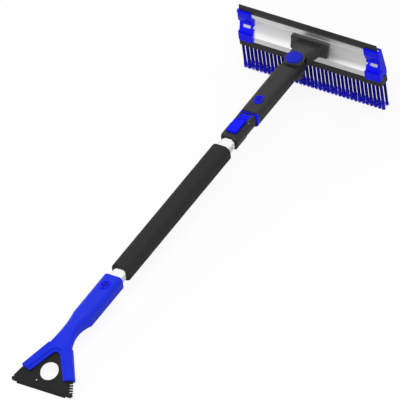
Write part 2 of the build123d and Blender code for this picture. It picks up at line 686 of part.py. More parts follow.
def rectangle(y_span, z_span):
    """Flat rectangle in the section's own plane, local x for Y and local y for Z."""
    size = (y_span[1] - y_span[0], z_span[1] - z_span[0])
    return Pos(y_span[0], z_span[0]) * Rectangle(*size, align=(Align.MIN, Align.MIN))


def section_profile():
    """Concave wall, squeegee jaws at the top and a railed shelf at the bottom."""
    outline = [
        front_curve(),
        Line((HEAD_FRONT, LIP_TOP), (HEAD_FRONT, SECTION_BOTTOM)),
        Line((HEAD_FRONT, SECTION_BOTTOM), (HEAD_FRONT + SECTION_WALL, SECTION_BOTTOM)),
        Line((HEAD_FRONT + SECTION_WALL, SECTION_BOTTOM), (HEAD_FRONT + SECTION_WALL, LIP_TOP)),
        front_curve(SECTION_WALL),
        Line((CROWN_Y + SECTION_WALL, SECTION_TOP), (CROWN_Y, SECTION_TOP)),
    ]
    wall = make_face(Wire(outline))
    half = SQUEEGEE_THICKNESS / 2 + SEAT_GAP
    jaw = rectangle(
        (CROWN_Y, SLOT_Y + half + JAW_WALL), (SECTION_TOP - JAW_DEPTH, SECTION_TOP)
    )
    slot = rectangle(
        (SLOT_Y - half, SLOT_Y + half), (SECTION_TOP - JAW_DEPTH + JAW_WALL, SECTION_TOP + CUT)
    )
    shelf = rectangle(
        (HEAD_FRONT, HEAD_FRONT + STRIP_DEPTH), (SECTION_BOTTOM, SECTION_BOTTOM + SECTION_WALL)
    )
    foot = RAIL_FOOT + SEAT_GAP
    rail_half = RAIL_WIDTH / 2 + SEAT_GAP
    shell = rectangle(
        (STRIP_Y - rail_half - RAIL_NECK, STRIP_Y + rail_half + RAIL_NECK),
        (SECTION_BOTTOM, SECTION_BOTTOM + RAIL_HEIGHT + RAIL_NECK + SEAT_GAP),
    )
    neck_half = RAIL_FOOT / 2 + SEAT_GAP
    neck = rectangle(
        (STRIP_Y - neck_half, STRIP_Y + neck_half), (SECTION_BOTTOM - CUT, SECTION_BOTTOM + foot)
    )
    head = rectangle(
        (STRIP_Y - rail_half, STRIP_Y + rail_half),
        (SECTION_BOTTOM + RAIL_NECK, SECTION_BOTTOM + RAIL_HEIGHT + SEAT_GAP),
    )
    return wall + jaw + shelf + shell + front_ribs() - slot - neck - head


def front_ribs(gap=0.0):
    """Fine ribs on the concave front, below the jaws, grown by a gap."""
    size = RIB_SIZE + 2 * gap
    ribs = Sketch()
    for index in range(RIB_COUNT):
        z = SECTION_TOP - JAW_DEPTH + RIB_SIZE - (index + 1) * RIB_PITCH
        ribs += Pos(curve_y(z) - RIB_SIZE / 4, z) * Rectangle(size, size)
    return ribs


def curve_y(z):
    """Y of the concave front at a height."""
    centre, radius = curve_circle()
    return centre[0] + math.sqrt(radius**2 - (z - centre[1]) ** 2)


def curve_circle():
    """Centre and radius of the arc through the crown, the hollow and the lip."""
    (ay, az), (by, bz), (cy, cz) = (
        (CROWN_Y, SECTION_TOP), (HOLLOW_Y, HOLLOW_Z), (HEAD_FRONT, LIP_TOP),
    )
    d = 2 * (ay * (bz - cz) + by * (cz - az) + cy * (az - bz))
    aa, bb, cc = ay**2 + az**2, by**2 + bz**2, cy**2 + cz**2
    uy = (aa * (bz - cz) + bb * (cz - az) + cc * (az - bz)) / d
    uz = (aa * (cy - by) + bb * (ay - cy) + cc * (by - ay)) / d
    return (uy, uz), math.hypot(ay - uy, az - uz)


def make_head_extrusion():
    section = lengthwise(section_profile(), HEAD_LENGTH)
    for x in (-BRACKET_SCREW_X, BRACKET_SCREW_X):
        section -= bracket_screw_bar(x, SCREW_RADIUS + SEAT_GAP, HEAD_FRONT, BACK_Y + CUT)
        section -= bracket_screw_bar(x, SCREW_HEAD_RADIUS + MOVING_GAP, SCREW_SEAT_Y, BACK_Y + CUT)
    return section


def make_squeegee():
    """Rubber blade whose root sits in the jaws."""
    root = SECTION_TOP - JAW_DEPTH + JAW_WALL + SEAT_GAP
    half, tip = SQUEEGEE_THICKNESS / 2, SQUEEGEE_TIP / 2
    top = SECTION_TOP + SQUEEGEE_HEIGHT
    shoulder = SECTION_TOP + SQUEEGEE_SHOULDER
    outline = Polyline(
        (SLOT_Y - half, root),
        (SLOT_Y + half, root),
        (SLOT_Y + half, shoulder),
        (SLOT_Y + tip, top),
        (SLOT_Y - tip, top),
        (SLOT_Y - half, shoulder),
        close=True,
    )
    return lengthwise(make_face(outline), HEAD_LENGTH - 2 * SQUEEGEE_INSET)


def strip_profile():
    """Section of the brush strip under the shelf."""
    top = SECTION_BOTTOM - SEAT_GAP
    body = rectangle((HEAD_FRONT, HEAD_FRONT + STRIP_DEPTH), (top - STRIP_HEIGHT, top))
    body = fillet(body.vertices(), STRIP_CORNER / 2)
    return body


def rail_profile():
    """Section of the T-shaped rail that slides in the shelf."""
    top = SECTION_BOTTOM - SEAT_GAP
    neck = rectangle(
        (STRIP_Y - RAIL_FOOT / 2, STRIP_Y + RAIL_FOOT / 2),
        (top - CUT, SECTION_BOTTOM + RAIL_HEIGHT - SEAT_GAP),
    )
    rail = rectangle(
        (STRIP_Y - RAIL_WIDTH / 2, STRIP_Y + RAIL_WIDTH / 2),
        (SECTION_BOTTOM + RAIL_NECK + SEAT_GAP, SECTION_BOTTOM + RAIL_HEIGHT - SEAT_GAP),
    )
    return neck + rail


def row_y(row):
    return STRIP_Y + (row - (ROW_COUNT - 1) / 2) * ROW_PITCH


def slice_channel(row, gap=0.0):
    """Groove of the strip that a row of bristles is set in."""
    half = (ROW_PITCH - SLICE_WALL) / 2 + gap
    y = row_y(row)
    length = TUFTS * TUFT_PITCH + 2 * gap
    top = STRIP_BOTTOM + SLICE_HEIGHT + gap
    low = STRIP_BOTTOM if gap == 0 else STRIP_BOTTOM - CUT
    return block((-length / 2, length / 2), (y - half, y + half), (low, top))


def make_brush_strip():
    strip = lengthwise(strip_profile(), HEAD_LENGTH + 2 * STRIP_OVERHANG)
    strip += lengthwise(rail_profile(), HEAD_LENGTH)
    for row in range(ROW_COUNT):
        strip -= slice_channel(row, SEAT_GAP)
    return strip


def ground_z(y):
    """Height of the ground under the tipped pole, in the pole's frame."""
    return GROUND_Z + (y - STRIP_Y) * GROUND_SLOPE


def strand(x, y, lean_x, lean_y):
    """Four-sided bristle from inside the slice to the ground, leaning out of its tuft."""
    root = STRIP_BOTTOM + SLICE_HEIGHT / 2
    half = STRAND / 2
    corners = [
        (x + sx * half, y + sy * half, root + sy * half * GROUND_SLOPE)
        for sx, sy in ((-1, -1), (1, -1), (1, 1), (-1, 1))
    ]
    face = Face(Wire.make_polygon(corners))
    drop = ground_z(y + lean_y) - root
    return Solid.extrude(face, Vector(lean_x, lean_y, drop))


def make_bristle_row(row):
    """One row of tufts; each tuft is four bristles that fan out from its root."""
    strands = []
    root, spread = STRAND_SPREAD_ROOT, STRAND_SPREAD_TIP
    tufts = TUFTS - row % 2
    for tuft in range(tufts):
        x = (tuft - (tufts - 1) / 2) * TUFT_PITCH
        for sx, sy in ((-1, -1), (1, -1), (1, 1), (-1, 1)):
            start = (x + sx * root, row_y(row) + sy * root)
            strands.append(strand(*start, sx * spread, sy * spread))
    return slice_channel(row).fuse(*strands)


# ---- head bracket --------------------------------------------------------------------
def bracket_screw_bar(x, radius, front, back):
    """Bar along Y at a bracket screw, on the deepest line of the section."""
    face = Plane(origin=(x, front, HOLLOW_Z), x_dir=(1, 0, 0), z_dir=(0, 1, 0))
    return extrude(face * Circle(radius), back - front)


def flange_profile():
    """Strip that hugs the concave front of the section."""
    back, front = -SEAT_GAP, -SEAT_GAP - FLANGE_WALL
    edges = [
        front_curve(back),
        Line((HEAD_FRONT + back, LIP_TOP), (HEAD_FRONT + front, LIP_TOP)),
        front_curve(front),
        Line((CROWN_Y + front, SECTION_TOP), (CROWN_Y + back, SECTION_TOP)),
    ]
    band = rectangle((0, BACK_Y), (FLANGE_BOTTOM, FLANGE_TOP))
    return make_face(Wire(edges)) & band


def flange_corner(edge):
    """True for the short edges through the flange at its four corners."""
    at_end = abs(abs(edge.center().X) - FLANGE_WIDTH / 2) < SEAT_GAP
    return at_end and edge.length < 2 * FLANGE_WALL and edge.geom_type == GeomType.LINE


def bracket_plan():
    """Eye that flares through two concave arcs to the flange."""
    reach = FLANGE_FRONT_Y + FLANGE_WALL / 2
    half = WEB_WIDTH / 2
    start = WEB_START
    side = math.sqrt(EYE_RADIUS**2 - start**2)
    bend = (WEB_WAIST_WIDTH / 2, (start + reach) * WEB_WAIST)
    outline = [
        Line((-half, reach), (half, reach)),
        ThreePointArc((half, reach), bend, (side, start)),
        ThreePointArc((side, start), (0, -EYE_RADIUS), (-side, start)),
        ThreePointArc((-side, start), (-bend[0], bend[1]), (-half, reach)),
    ]
    return make_face(Wire(outline))


def make_head_bracket():
    """Flange, web and forked eye in one moulding, with the boss that holds the gear."""
    low = LOWER_PLATE_TOP - LOWER_PLATE
    web = Pos(0, 0, low) * extrude(bracket_plan(), EYE_TOP - low)
    reach = FLANGE_FRONT_Y + FLANGE_WALL
    web &= side_profile(
        [
            (-EYE_RADIUS - CUT, low),
            (reach, low + WEB_DRAFT),
            (reach, WEB_TOP),
            (EYE_RADIUS + WEB_DRAFT, EYE_TOP),
            (-EYE_RADIUS - CUT, EYE_TOP),
        ],
        FLANGE_WIDTH,
    )
    flange = lengthwise(flange_profile(), FLANGE_WIDTH)
    flange = fillet(flange.edges().filter_by(flange_corner), FLANGE_CORNER)
    body = web + flange
    body -= lengthwise(make_face(Wire(behind_flange())), FLANGE_WIDTH + 2 * CUT)
    wide = FLANGE_WIDTH
    tongue_reach = TONGUE_RADIUS + 2 * MOVING_GAP
    body -= block((-wide, wide), (-wide, tongue_reach), (LOWER_PLATE_TOP, EYE_BOTTOM))
    body += disc(BOSS_RADIUS, BOSS_BOTTOM, low - BOSS_BOTTOM + CUT)
    body -= disc(DISC_RADIUS + MOVING_GAP, EYE_BOTTOM - CUT, EYE_TOP)
    pocket_floor = BOSS_BOTTOM + BOSS_FLOOR
    pocket = extrude(gear_plan(SEAT_GAP), LOWER_PLATE_TOP - pocket_floor + CUT)
    body -= Pos(0, 0, pocket_floor) * pocket
    body -= disc(PIVOT_SCREW_RADIUS + SEAT_GAP, BOSS_BOTTOM - CUT, BOSS_FLOOR + 2 * CUT)
    for x in (-BRACKET_SCREW_X, BRACKET_SCREW_X):
        body -= bracket_screw_bar(x, SCREW_RADIUS, SCREW_TIP_Y, BACK_Y)
    return body


def behind_flange():
    """Closed outline of what lies behind the flange, to trim the web with."""
    edge = -SEAT_GAP
    far = BACK_Y + HEAD_FRONT
    return [
        front_curve(edge),
        Line((HEAD_FRONT + edge, LIP_TOP), (HEAD_FRONT + edge, SECTION_BOTTOM)),
        Line((HEAD_FRONT + edge, SECTION_BOTTOM), (far, SECTION_BOTTOM)),
        Line((far, SECTION_BOTTOM), (far, SECTION_TOP)),
        Line((far, SECTION_TOP), (CROWN_Y + edge, SECTION_TOP)),
    ]


def make_bracket_screws():
    """Pan-head screws that go through the section's wall into the bracket's flange."""
    screws = []
    head_end = SCREW_SEAT_Y + SCREW_HEAD_HEIGHT
    for x in (-BRACKET_SCREW_X, BRACKET_SCREW_X):
        shank = bracket_screw_bar(x, SCREW_RADIUS, SCREW_TIP_Y, SCREW_SEAT_Y)
        head = bracket_screw_bar(x, SCREW_HEAD_RADIUS, SCREW_SEAT_Y, head_end)
        socket = bracket_screw_bar(x, SOCKET_RADIUS, head_end - SOCKET_DEPTH, head_end)
        screws.append(shank + head - socket)
    return Compound(screws)


# ---- end caps ------------------------------------------------------------------------
def core_outline(gap):
    """Closed outline round the section, which the caps leave clear."""
    back = HEAD_FRONT + STRIP_DEPTH + gap
    jaw_back = SLOT_Y + SQUEEGEE_THICKNESS / 2 + SEAT_GAP + JAW_WALL + gap
    below = SECTION_BOTTOM - CUT
    return [
        front_curve(-gap),
        Line((HEAD_FRONT - gap, LIP_TOP), (HEAD_FRONT - gap, below)),
        Line((HEAD_FRONT - gap, below), (back, below)),
        Line((back, below), (back, LIP_TOP)),
        Line((back, LIP_TOP), (jaw_back, SECTION_TOP)),
        Line((jaw_back, SECTION_TOP), (CROWN_Y - gap, SECTION_TOP)),
    ]


def cap_skin():
    """Middle of a cap's side: it follows the concave front and slopes down the back."""
    outline = [
        front_curve(-CAP_SKIN),
        Line((HEAD_FRONT - CAP_SKIN, LIP_TOP), (HEAD_FRONT - CAP_SKIN, SECTION_BOTTOM)),
        Line((HEAD_FRONT - CAP_SKIN, SECTION_BOTTOM), (CAP_BACK, SECTION_BOTTOM)),
        Line((CAP_BACK, SECTION_BOTTOM), (CAP_BACK, LIP_TOP)),
        Line((CAP_BACK, LIP_TOP), (CROWN_Y + CAP_TOP_DEPTH, SECTION_TOP)),
        Line((CROWN_Y + CAP_TOP_DEPTH, SECTION_TOP), (CROWN_Y - CAP_SKIN, SECTION_TOP)),
    ]
    return make_face(Wire(outline))


def cap_blocks():
    """Proud blocks of a cap's side: one over the jaws that slopes back, one round the lip."""
    front = CROWN_Y - CAP_UPPER_PROUD
    rubber_face = SLOT_Y - SQUEEGEE_THICKNESS / 2 - SEAT_GAP
    upper = make_face(
        Polyline(
            (front, SECTION_TOP + CAP_RISE),
            (front, CAP_STEP),
            (front + CAP_RETURN, CAP_STEP - CAP_FALL),
            (HOLLOW_Y, CAP_STEP - CAP_FALL),
            (HOLLOW_Y, SECTION_TOP),
            (rubber_face, SECTION_TOP),
            (rubber_face, SECTION_TOP + CAP_RISE),
            close=True,
        )
    )
    lower = rectangle(
        (HEAD_FRONT - CAP_LOWER_PROUD, HOLLOW_Y), (SECTION_BOTTOM, CAP_LOWER_TOP)
    )
    return upper + lower


def cap_slice(profile, low, high):
    """Profile in the plane of Y and Z, from one x to another."""
    return Pos(low, 0, 0) * extrude(Plane.YZ * profile, high - low)


def make_end_cap():
    """Right-hand cap: two proud blocks joined by a windowed skin, closed at its end."""
    outermost = CAP_OUTER + CAP_OUTWARD
    body = cap_slice(cap_skin(), CAP_INNER, CAP_OUTER)
    blocks = cap_slice(cap_blocks(), CAP_INNER, outermost)
    corners = blocks.edges().filter_by(Axis.Z).group_by(Axis.X)[-1].sort_by(Axis.Y)[:2]
    body += chamfer(corners, CAP_CORNER)
    end_wall = HEAD_LENGTH / 2 + SEAT_GAP
    core = make_face(Wire(core_outline(SEAT_GAP))) + front_ribs(SEAT_GAP)
    core += rectangle(
        (CROWN_Y - SEAT_GAP, HOLLOW_Y),
        (SECTION_TOP - JAW_DEPTH - SEAT_GAP, SECTION_TOP + SEAT_GAP),
    )
    body -= cap_slice(core, 0, end_wall)
    body -= cap_opening()
    for index in range(GRIP_GROOVES):
        y = HEAD_FRONT - CAP_LOWER_PROUD + GROOVE + index * 2 * GROOVE
        body -= block(
            (CAP_INNER - CUT, outermost + CUT), (y, y + GROOVE),
            (CAP_LOWER_TOP - GROOVE, CAP_LOWER_TOP + CUT),
        )
    return body.clean()


def cap_opening():
    """Window through the skin, with a notch to the cap's inner edge that holds a hook."""
    depth = (HEAD_FRONT, HOLLOW_Y + CUT)
    start = CAP_INNER + WINDOW_INSET
    low, high = WINDOW_MIDDLE - WINDOW_HEIGHT / 2, WINDOW_MIDDLE + WINDOW_HEIGHT / 2
    window = block((start, start + WINDOW_WIDTH), depth, (low, high))
    reach = HOOK_RADIUS + HOOK_MARGIN
    window += block(
        (CAP_INNER - CUT, start + CUT), depth, (WINDOW_MIDDLE - reach, WINDOW_MIDDLE + reach)
    )
    x = start - HOOK_RADIUS
    hook = Pos(x, HOLLOW_Y, WINDOW_MIDDLE) * Rot(90, 0, 0) * Cylinder(HOOK_RADIUS, BACK_Y)
    stem = block((x - HOOK_RADIUS / 2, x + HOOK_RADIUS / 2), depth, (low, WINDOW_MIDDLE))
    return window - hook - stem


# ---- scraper -------------------------------------------------------------------------
def in_blade(sketch, low, height):
    """Outline drawn in the blade's plane, made solid from a level above its middle."""
    return extrude(BLADE_PLANE * Pos(0, 0, low) * sketch, height)


def mirrored_outline(right):
    """Closed outline from its right half, listed from the middle as (x, reach) pairs."""
    points = [(x, -reach) for x, reach in right]
    left = [(-x, y) for x, y in reversed(points) if x > 0]
    return make_face(Polyline(*points, *left, close=True))


def blade_outline():
    inset = ARM_WALL
    side = BLADE_SPAN / 2
    edge = BLADE_EDGE_SPAN / 2
    corner = BLADE_CORNER_REACH
    return mirrored_outline(
        [
            (BLADE_ROOT_WIDTH / 2, BLADE_ROOT_REACH),
            (FORK_WIDTH / 2 - inset, FORK_REACH + inset),
            (ARM_SPAN / 2 - inset, ARM_REACH),
            (side - BLADE_NOTCH / 2, corner - 2 * BLADE_NOTCH),
            (side - BLADE_NOTCH, corner - 1.5 * BLADE_NOTCH),
            (side, corner - BLADE_NOTCH),
            (side, corner),
            (side - BLADE_NOTCH, corner + BLADE_NOTCH),
            (edge, corner + BLADE_NOTCH),
            (edge, BLADE_REACH),
        ]
    )


def make_scraper_blade():
    """Tilted plate with a bevelled edge, notched corners, ice teeth and a hang hole."""
    plate = in_blade(blade_outline(), -BLADE_THICKNESS / 2, BLADE_THICKNESS)
    cutters = Pos(0, -HANG_HOLE_REACH) * Circle(HANG_HOLE_RADIUS)
    cutters += Pos(PIN_HOLE_X, -PIN_HOLE_REACH) * Circle(PIN_HOLE_RADIUS)
    for x in (-BLADE_SCREW_X, BLADE_SCREW_X):
        cutters += Pos(x, -BLADE_SCREW_REACH) * Circle(BLADE_SCREW_RADIUS + SEAT_GAP)
    slope = math.degrees(
        math.atan2(BLADE_SPAN / 2 - ARM_SPAN / 2 + ARM_WALL, BLADE_CORNER_REACH - ARM_REACH)
    )
    for tooth in range(TEETH):
        reach = TOOTH_START + tooth * TOOTH_PITCH
        x = ARM_SPAN / 2 - ARM_WALL + (reach - ARM_REACH) * math.tan(math.radians(slope))
        gap = Rectangle(2 * TOOTH_DEPTH, TOOTH_PITCH / 2)
        cutters += Pos(x, -reach) * Rot(0, 0, slope) * gap
    plate -= in_blade(cutters, -BLADE_THICKNESS, 2 * BLADE_THICKNESS)
    wedge = Polyline(
        (-BLADE_REACH + BEVEL_LENGTH, BLADE_THICKNESS / 2),
        (-BLADE_REACH - CUT, BEVEL_LAND - BLADE_THICKNESS / 2),
        (-BLADE_REACH - CUT, BLADE_THICKNESS),
        (-BLADE_REACH + BEVEL_LENGTH, BLADE_THICKNESS),
        close=True,
    )
    bevel = Plane.YZ * make_face(wedge)
    bevel = extrude(bevel, BLADE_EDGE_SPAN / 2, both=True)
    return plate - BLADE_PLANE.location * bevel


def fork_opening(grow=0.0):
    """Rounded V between the arms, grown sideways by a width."""
    half_angle = math.atan2(ARM_INNER_SPAN / 2, ARM_INNER_REACH - CROTCH_REACH)
    apex = CROTCH_REACH - grow / math.sin(half_angle)
    far = BLADE_REACH
    x = (far - apex) * math.tan(half_angle)
    opening = make_face(Polyline((0, -apex), (x, -far), (-x, -far), close=True))
    top = opening.vertices().sort_by(Axis.Y)[-1]
    return fillet(top, CROTCH_RADIUS + grow)


def make_arms():
    outline = mirrored_outline(
        [
            (FORK_WIDTH / 2, FORK_REACH),
            (ARM_SPAN / 2, ARM_REACH),
            (ARM_INNER_SPAN / 2, ARM_INNER_REACH),
        ]
    )
    ends = outline.vertices().group_by(Axis.Y)
    outline = fillet(ends[0] + ends[1], ARM_CORNER)
    arms = in_blade(outline, -ARM_BELOW, ARM_BELOW + ARM_ABOVE)
    arms = chamfer(outer_edges(arms), ARM_EDGE)
    arms -= in_blade(fork_opening(), -BLADE_REACH, 2 * BLADE_REACH)
    arms -= in_blade(fork_opening(LEDGE_WIDTH), ARM_ABOVE - LEDGE_DEPTH, ARM_ABOVE)
    return arms


def outer_edges(solid):
    """Edges round the solid's upper face, which is square to the blade's normal."""
    top = solid.faces().sort_by(Axis(BLADE_PLANE.origin, BLADE_PLANE.z_dir))[-1]
    return top.edges()


def make_scraper_handle():
    """Socket for the tube, narrowing to a waist and forking round the blade."""
    size = (HANDLE_WIDTH, HANDLE_HEIGHT, HANDLE_CORNER)
    socket = bar(*size, HANDLE_TOP, WAIST_START - HANDLE_TOP)
    socket = fillet(socket.edges().filter_by(Plane.XZ).group_by(Axis.Y)[-1], NECK_EDGE)
    fork_reach = 2 * FORK_REACH
    fork_plane = Plane(
        origin=BLADE_PLANE.from_local_coords((0, -fork_reach, (ARM_ABOVE - ARM_BELOW) / 2)),
        x_dir=(1, 0, 0),
        z_dir=(0, -math.cos(TILT), -math.sin(TILT)),
    )
    waist_section = RectangleRounded(WAIST_WIDTH, WAIST_HEIGHT, WAIST_CORNER)
    waist = loft(
        [
            across(WAIST_START) * RectangleRounded(*size),
            across(WAIST_STATION) * Pos(0, WAIST_RISE) * waist_section,
            fork_plane * RectangleRounded(FORK_WIDTH, ARM_ABOVE + ARM_BELOW, ARM_CORNER),
        ]
    )
    body = socket + waist + make_arms()
    socket_end = OUTER_TUBE_BOTTOM + SEAT_GAP
    body -= tube_bar(HANDLE_TOP - CUT, socket_end - HANDLE_TOP + CUT, SEAT_GAP)
    body -= button_pocket(SCRAPER_BUTTON_STATION, HANDLE_HEIGHT / 2)
    thickness = BLADE_THICKNESS + 2 * SEAT_GAP
    body -= in_blade(offset(blade_outline(), SEAT_GAP), -thickness / 2, thickness)
    for x in (-BLADE_SCREW_X, BLADE_SCREW_X):
        body -= blade_screw_bar(x, BLADE_SCREW_RADIUS, -ARM_BELOW - CUT, BLADE_SCREW_TOP)
        seat = BLADE_SCREW_HEAD_HEIGHT - ARM_BELOW
        body -= blade_screw_bar(x, BLADE_SCREW_HEAD + SEAT_GAP, -ARM_BELOW - CUT, seat)
    return body


def blade_screw_bar(x, radius, low, high):
    """Bar square to the blade, between two levels over its middle."""
    return in_blade(Pos(x, -BLADE_SCREW_REACH) * Circle(radius), low, high - low)


def make_blade_screws():
    """Screws that come up through the arms and hold the blade."""
    screws = []
    seat = BLADE_SCREW_HEAD_HEIGHT - ARM_BELOW
    for x in (-BLADE_SCREW_X, BLADE_SCREW_X):
        shank = blade_screw_bar(x, BLADE_SCREW_RADIUS, seat, BLADE_SCREW_TOP)
        head = blade_screw_bar(x, BLADE_SCREW_HEAD, -ARM_BELOW, seat)
        socket = blade_screw_bar(x, SOCKET_RADIUS, -ARM_BELOW, SOCKET_DEPTH - ARM_BELOW)
        screws.append(shank + head - socket)
    return Compound(screws)


# ---- pieces and their resting place --------------------------------------------------
PIECES = {
    "outer_tube": make_outer_tube,
    "inner_tube": make_inner_tube,
    "tube_bush": make_tube_bush,
    "tube_plug": make_tube_plug,
    "foam_grip": make_foam_grip,
    "neck_housing": make_neck,
    "coupling_ring": make_coupling_ring,
    "neck_button": lambda: make_oval_button(NECK_BUTTON_STATION, NECK_HEIGHT / 2),
    "neck_button_spring": lambda: make_button_spring(
        NECK_BUTTON_STATION, INNER_WALL - INNER_HEIGHT / 2
    ),
    "pivot_button": make_pivot_button,
    "pivot_lock_gear": make_lock_gear,
    "pivot_screw": make_pivot_screw,
    "pivot_spring": make_pivot_spring,
    "lock_collar": make_lock_collar,
    "lock_lever": make_lock_lever,
    "lever_pin": make_lever_pin,
    "clamp_shoe": make_clamp_shoe,
    "head_extrusion": make_head_extrusion,
    "squeegee_blade": make_squeegee,
    "brush_strip": make_brush_strip,
    "bristle_row_front": lambda: make_bristle_row(0),
    "bristle_row_middle": lambda: make_bristle_row(1),
    "bristle_row_back": lambda: make_bristle_row(2),
    "head_bracket": make_head_bracket,
    "bracket_screws": make_bracket_screws,
    "end_cap_right": make_end_cap,
    "end_cap_left": lambda: mirror(make_end_cap(), about=Plane.YZ),
    "scraper_handle": make_scraper_handle,
    "scraper_blade": make_scraper_blade,
    "blade_screws": make_blade_screws,
    "scraper_button": lambda: make_oval_button(SCRAPER_BUTTON_STATION, HANDLE_HEIGHT / 2),
    "scraper_button_spring": lambda: make_button_spring(
        SCRAPER_BUTTON_STATION, TUBE_WALL - TUBE_HEIGHT / 2
    ),
}

# Tip the pole and bring the middle of the whole thing's footprint to the origin.
tipped = {name: Rot(POLE_TIP, 0, 0) * make() for name, make in PIECES.items()}
extent = Compound(list(tipped.values())).bounding_box()
to_ground = Pos(-extent.center().X, -extent.center().Y, -extent.min.Z)
PLACEMENT = to_ground * Rot(POLE_TIP, 0, 0)
for name, shape in tipped.items():
    export_step(to_ground * shape, f"parts/{name}.step")
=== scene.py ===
"""Looks of a telescopic snow brush with an ice scraper.

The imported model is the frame: every moulding, tube and screw keeps its place and shape, and
takes its finish here.  The foam grip and the tufts of bristles are modelled here in full.
"""
import json
import math

import bpy
import numpy as np
from mathutils import Euler, Matrix, Vector


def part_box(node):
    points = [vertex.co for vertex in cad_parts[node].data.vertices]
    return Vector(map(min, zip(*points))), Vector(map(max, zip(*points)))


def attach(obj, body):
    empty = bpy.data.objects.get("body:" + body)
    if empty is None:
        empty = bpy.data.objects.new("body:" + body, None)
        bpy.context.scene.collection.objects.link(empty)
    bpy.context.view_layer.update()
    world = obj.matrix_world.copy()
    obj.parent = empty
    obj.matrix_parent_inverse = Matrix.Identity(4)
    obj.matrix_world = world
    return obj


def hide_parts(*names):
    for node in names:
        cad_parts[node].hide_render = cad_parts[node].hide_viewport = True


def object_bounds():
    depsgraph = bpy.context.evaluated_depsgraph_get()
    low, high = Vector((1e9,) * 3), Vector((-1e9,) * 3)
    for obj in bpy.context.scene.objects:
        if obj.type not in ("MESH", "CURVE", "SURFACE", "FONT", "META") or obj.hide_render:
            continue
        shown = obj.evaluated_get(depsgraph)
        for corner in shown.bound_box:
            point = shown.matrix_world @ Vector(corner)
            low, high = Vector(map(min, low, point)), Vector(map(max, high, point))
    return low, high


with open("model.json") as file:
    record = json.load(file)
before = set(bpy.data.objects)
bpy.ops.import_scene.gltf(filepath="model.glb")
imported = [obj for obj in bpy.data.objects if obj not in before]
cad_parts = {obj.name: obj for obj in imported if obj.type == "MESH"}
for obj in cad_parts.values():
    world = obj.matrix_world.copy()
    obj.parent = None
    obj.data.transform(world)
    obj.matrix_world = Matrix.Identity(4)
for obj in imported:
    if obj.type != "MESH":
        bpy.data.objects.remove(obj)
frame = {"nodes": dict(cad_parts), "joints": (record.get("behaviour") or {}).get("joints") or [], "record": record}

bl_info = {
    "name": "Snow Brush Scraper",
    "version": (1, 0, 0),
    "blender": (4, 5, 0),
    "location": "3D View > Sidebar > Snow Brush",
    "description": "Dresses the snow brush's frame with its finishes, foam and bristles",
    "category": "Object",
}

MM = 0.001
CAD_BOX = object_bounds()
JOINTS = {joint["name"]: joint for joint in frame["joints"]}
SWIVEL = Vector(JOINTS["head_swivel"]["pos_m"])
ALONG = Vector(JOINTS["pole_slide"]["axis"])
UP = Vector(JOINTS["head_swivel"]["axis"])
ACROSS = Vector((1, 0, 0))
POLE_FRAME = Matrix((ACROSS, ALONG, UP)).transposed().to_4x4()
POLE_FRAME.translation = SWIVEL
BRISTLE_ROWS = ("bristle_row_front", "bristle_row_middle", "bristle_row_back")

# Finishes, by the name of their slot once they are made.
FINISHES = {}
FINE_GRAIN = (0.5 * MM, 0.02 * MM)  # a moulding's grain: its size and its depth
COARSE_GRAIN = (0.7 * MM, 0.04 * MM)
GRAIN_STRENGTH = 0.35
EDGE_SOFTNESS = 0.7 * MM  # radius that edges of mouldings are shaded with
# The coupling ring's dark side starts and is full at these depths below its top, and at these
# distances from its end, which leaves its chamfer out.
RING_SHADE = (1.6 * MM, 0.24 * MM)
RING_RIM = (0.6 * MM, 0.8 * MM)

# Stage: each light's place from the object's middle, and its size.
LIGHTS = {"key_light": ((0.7, -1.1, 1.8), 1.6), "fill_light": ((-1.5, 0.3, 1.1), 1.0)}
FLOOR_SIZE = 30.0
FLOOR_GLOW = 0.85  # how much of the floor's own light the camera sees

# Foam grip.
FOAM_STATIONS = 40
FOAM_CORNER_SEGMENTS = 9
FOAM_RIM_SEGMENTS = 4
FOAM_CLOUD = 14 * MM
FOAM_SMOOTHING = 60
ALONG_POLE = 0.9  # least share of an edge's direction that counts as along the pole
ACROSS_POLE = 0.1  # largest share that counts as across it
END_FACING = 0.99

# Bristles: rings of a filament from its root to its tip, and where a tuft starts to spread.
RING_SHARES = (0.0, 0.35, 0.62, 0.74, 0.86, 0.93, 1.0)
RINGS = len(RING_SHARES)
CORNERS = 4
SPREAD_START = 0.62
SPREAD_LAG = 0.12  # how much later each row behind the front one does
GOLDEN_ANGLE = math.pi * (3 - math.sqrt(5))
SEED = 11
BACKING_EDGE = 0.3 * MM


# ---- sizes and colours that a user would change ----------------------------------------
def length_property(label, text, default):
    return bpy.props.FloatProperty(
        name=label, description=text, default=default, min=0.0, unit="LENGTH", precision=5
    )


def angle_property(label, text, degrees):
    return bpy.props.FloatProperty(
        name=label, description=text, default=math.radians(degrees), unit="ROTATION"
    )


def colour_property(label, text, default):
    return bpy.props.FloatVectorProperty(
        name=label, description=text, default=default, size=3, min=0.0, max=1.0, subtype="COLOR"
    )


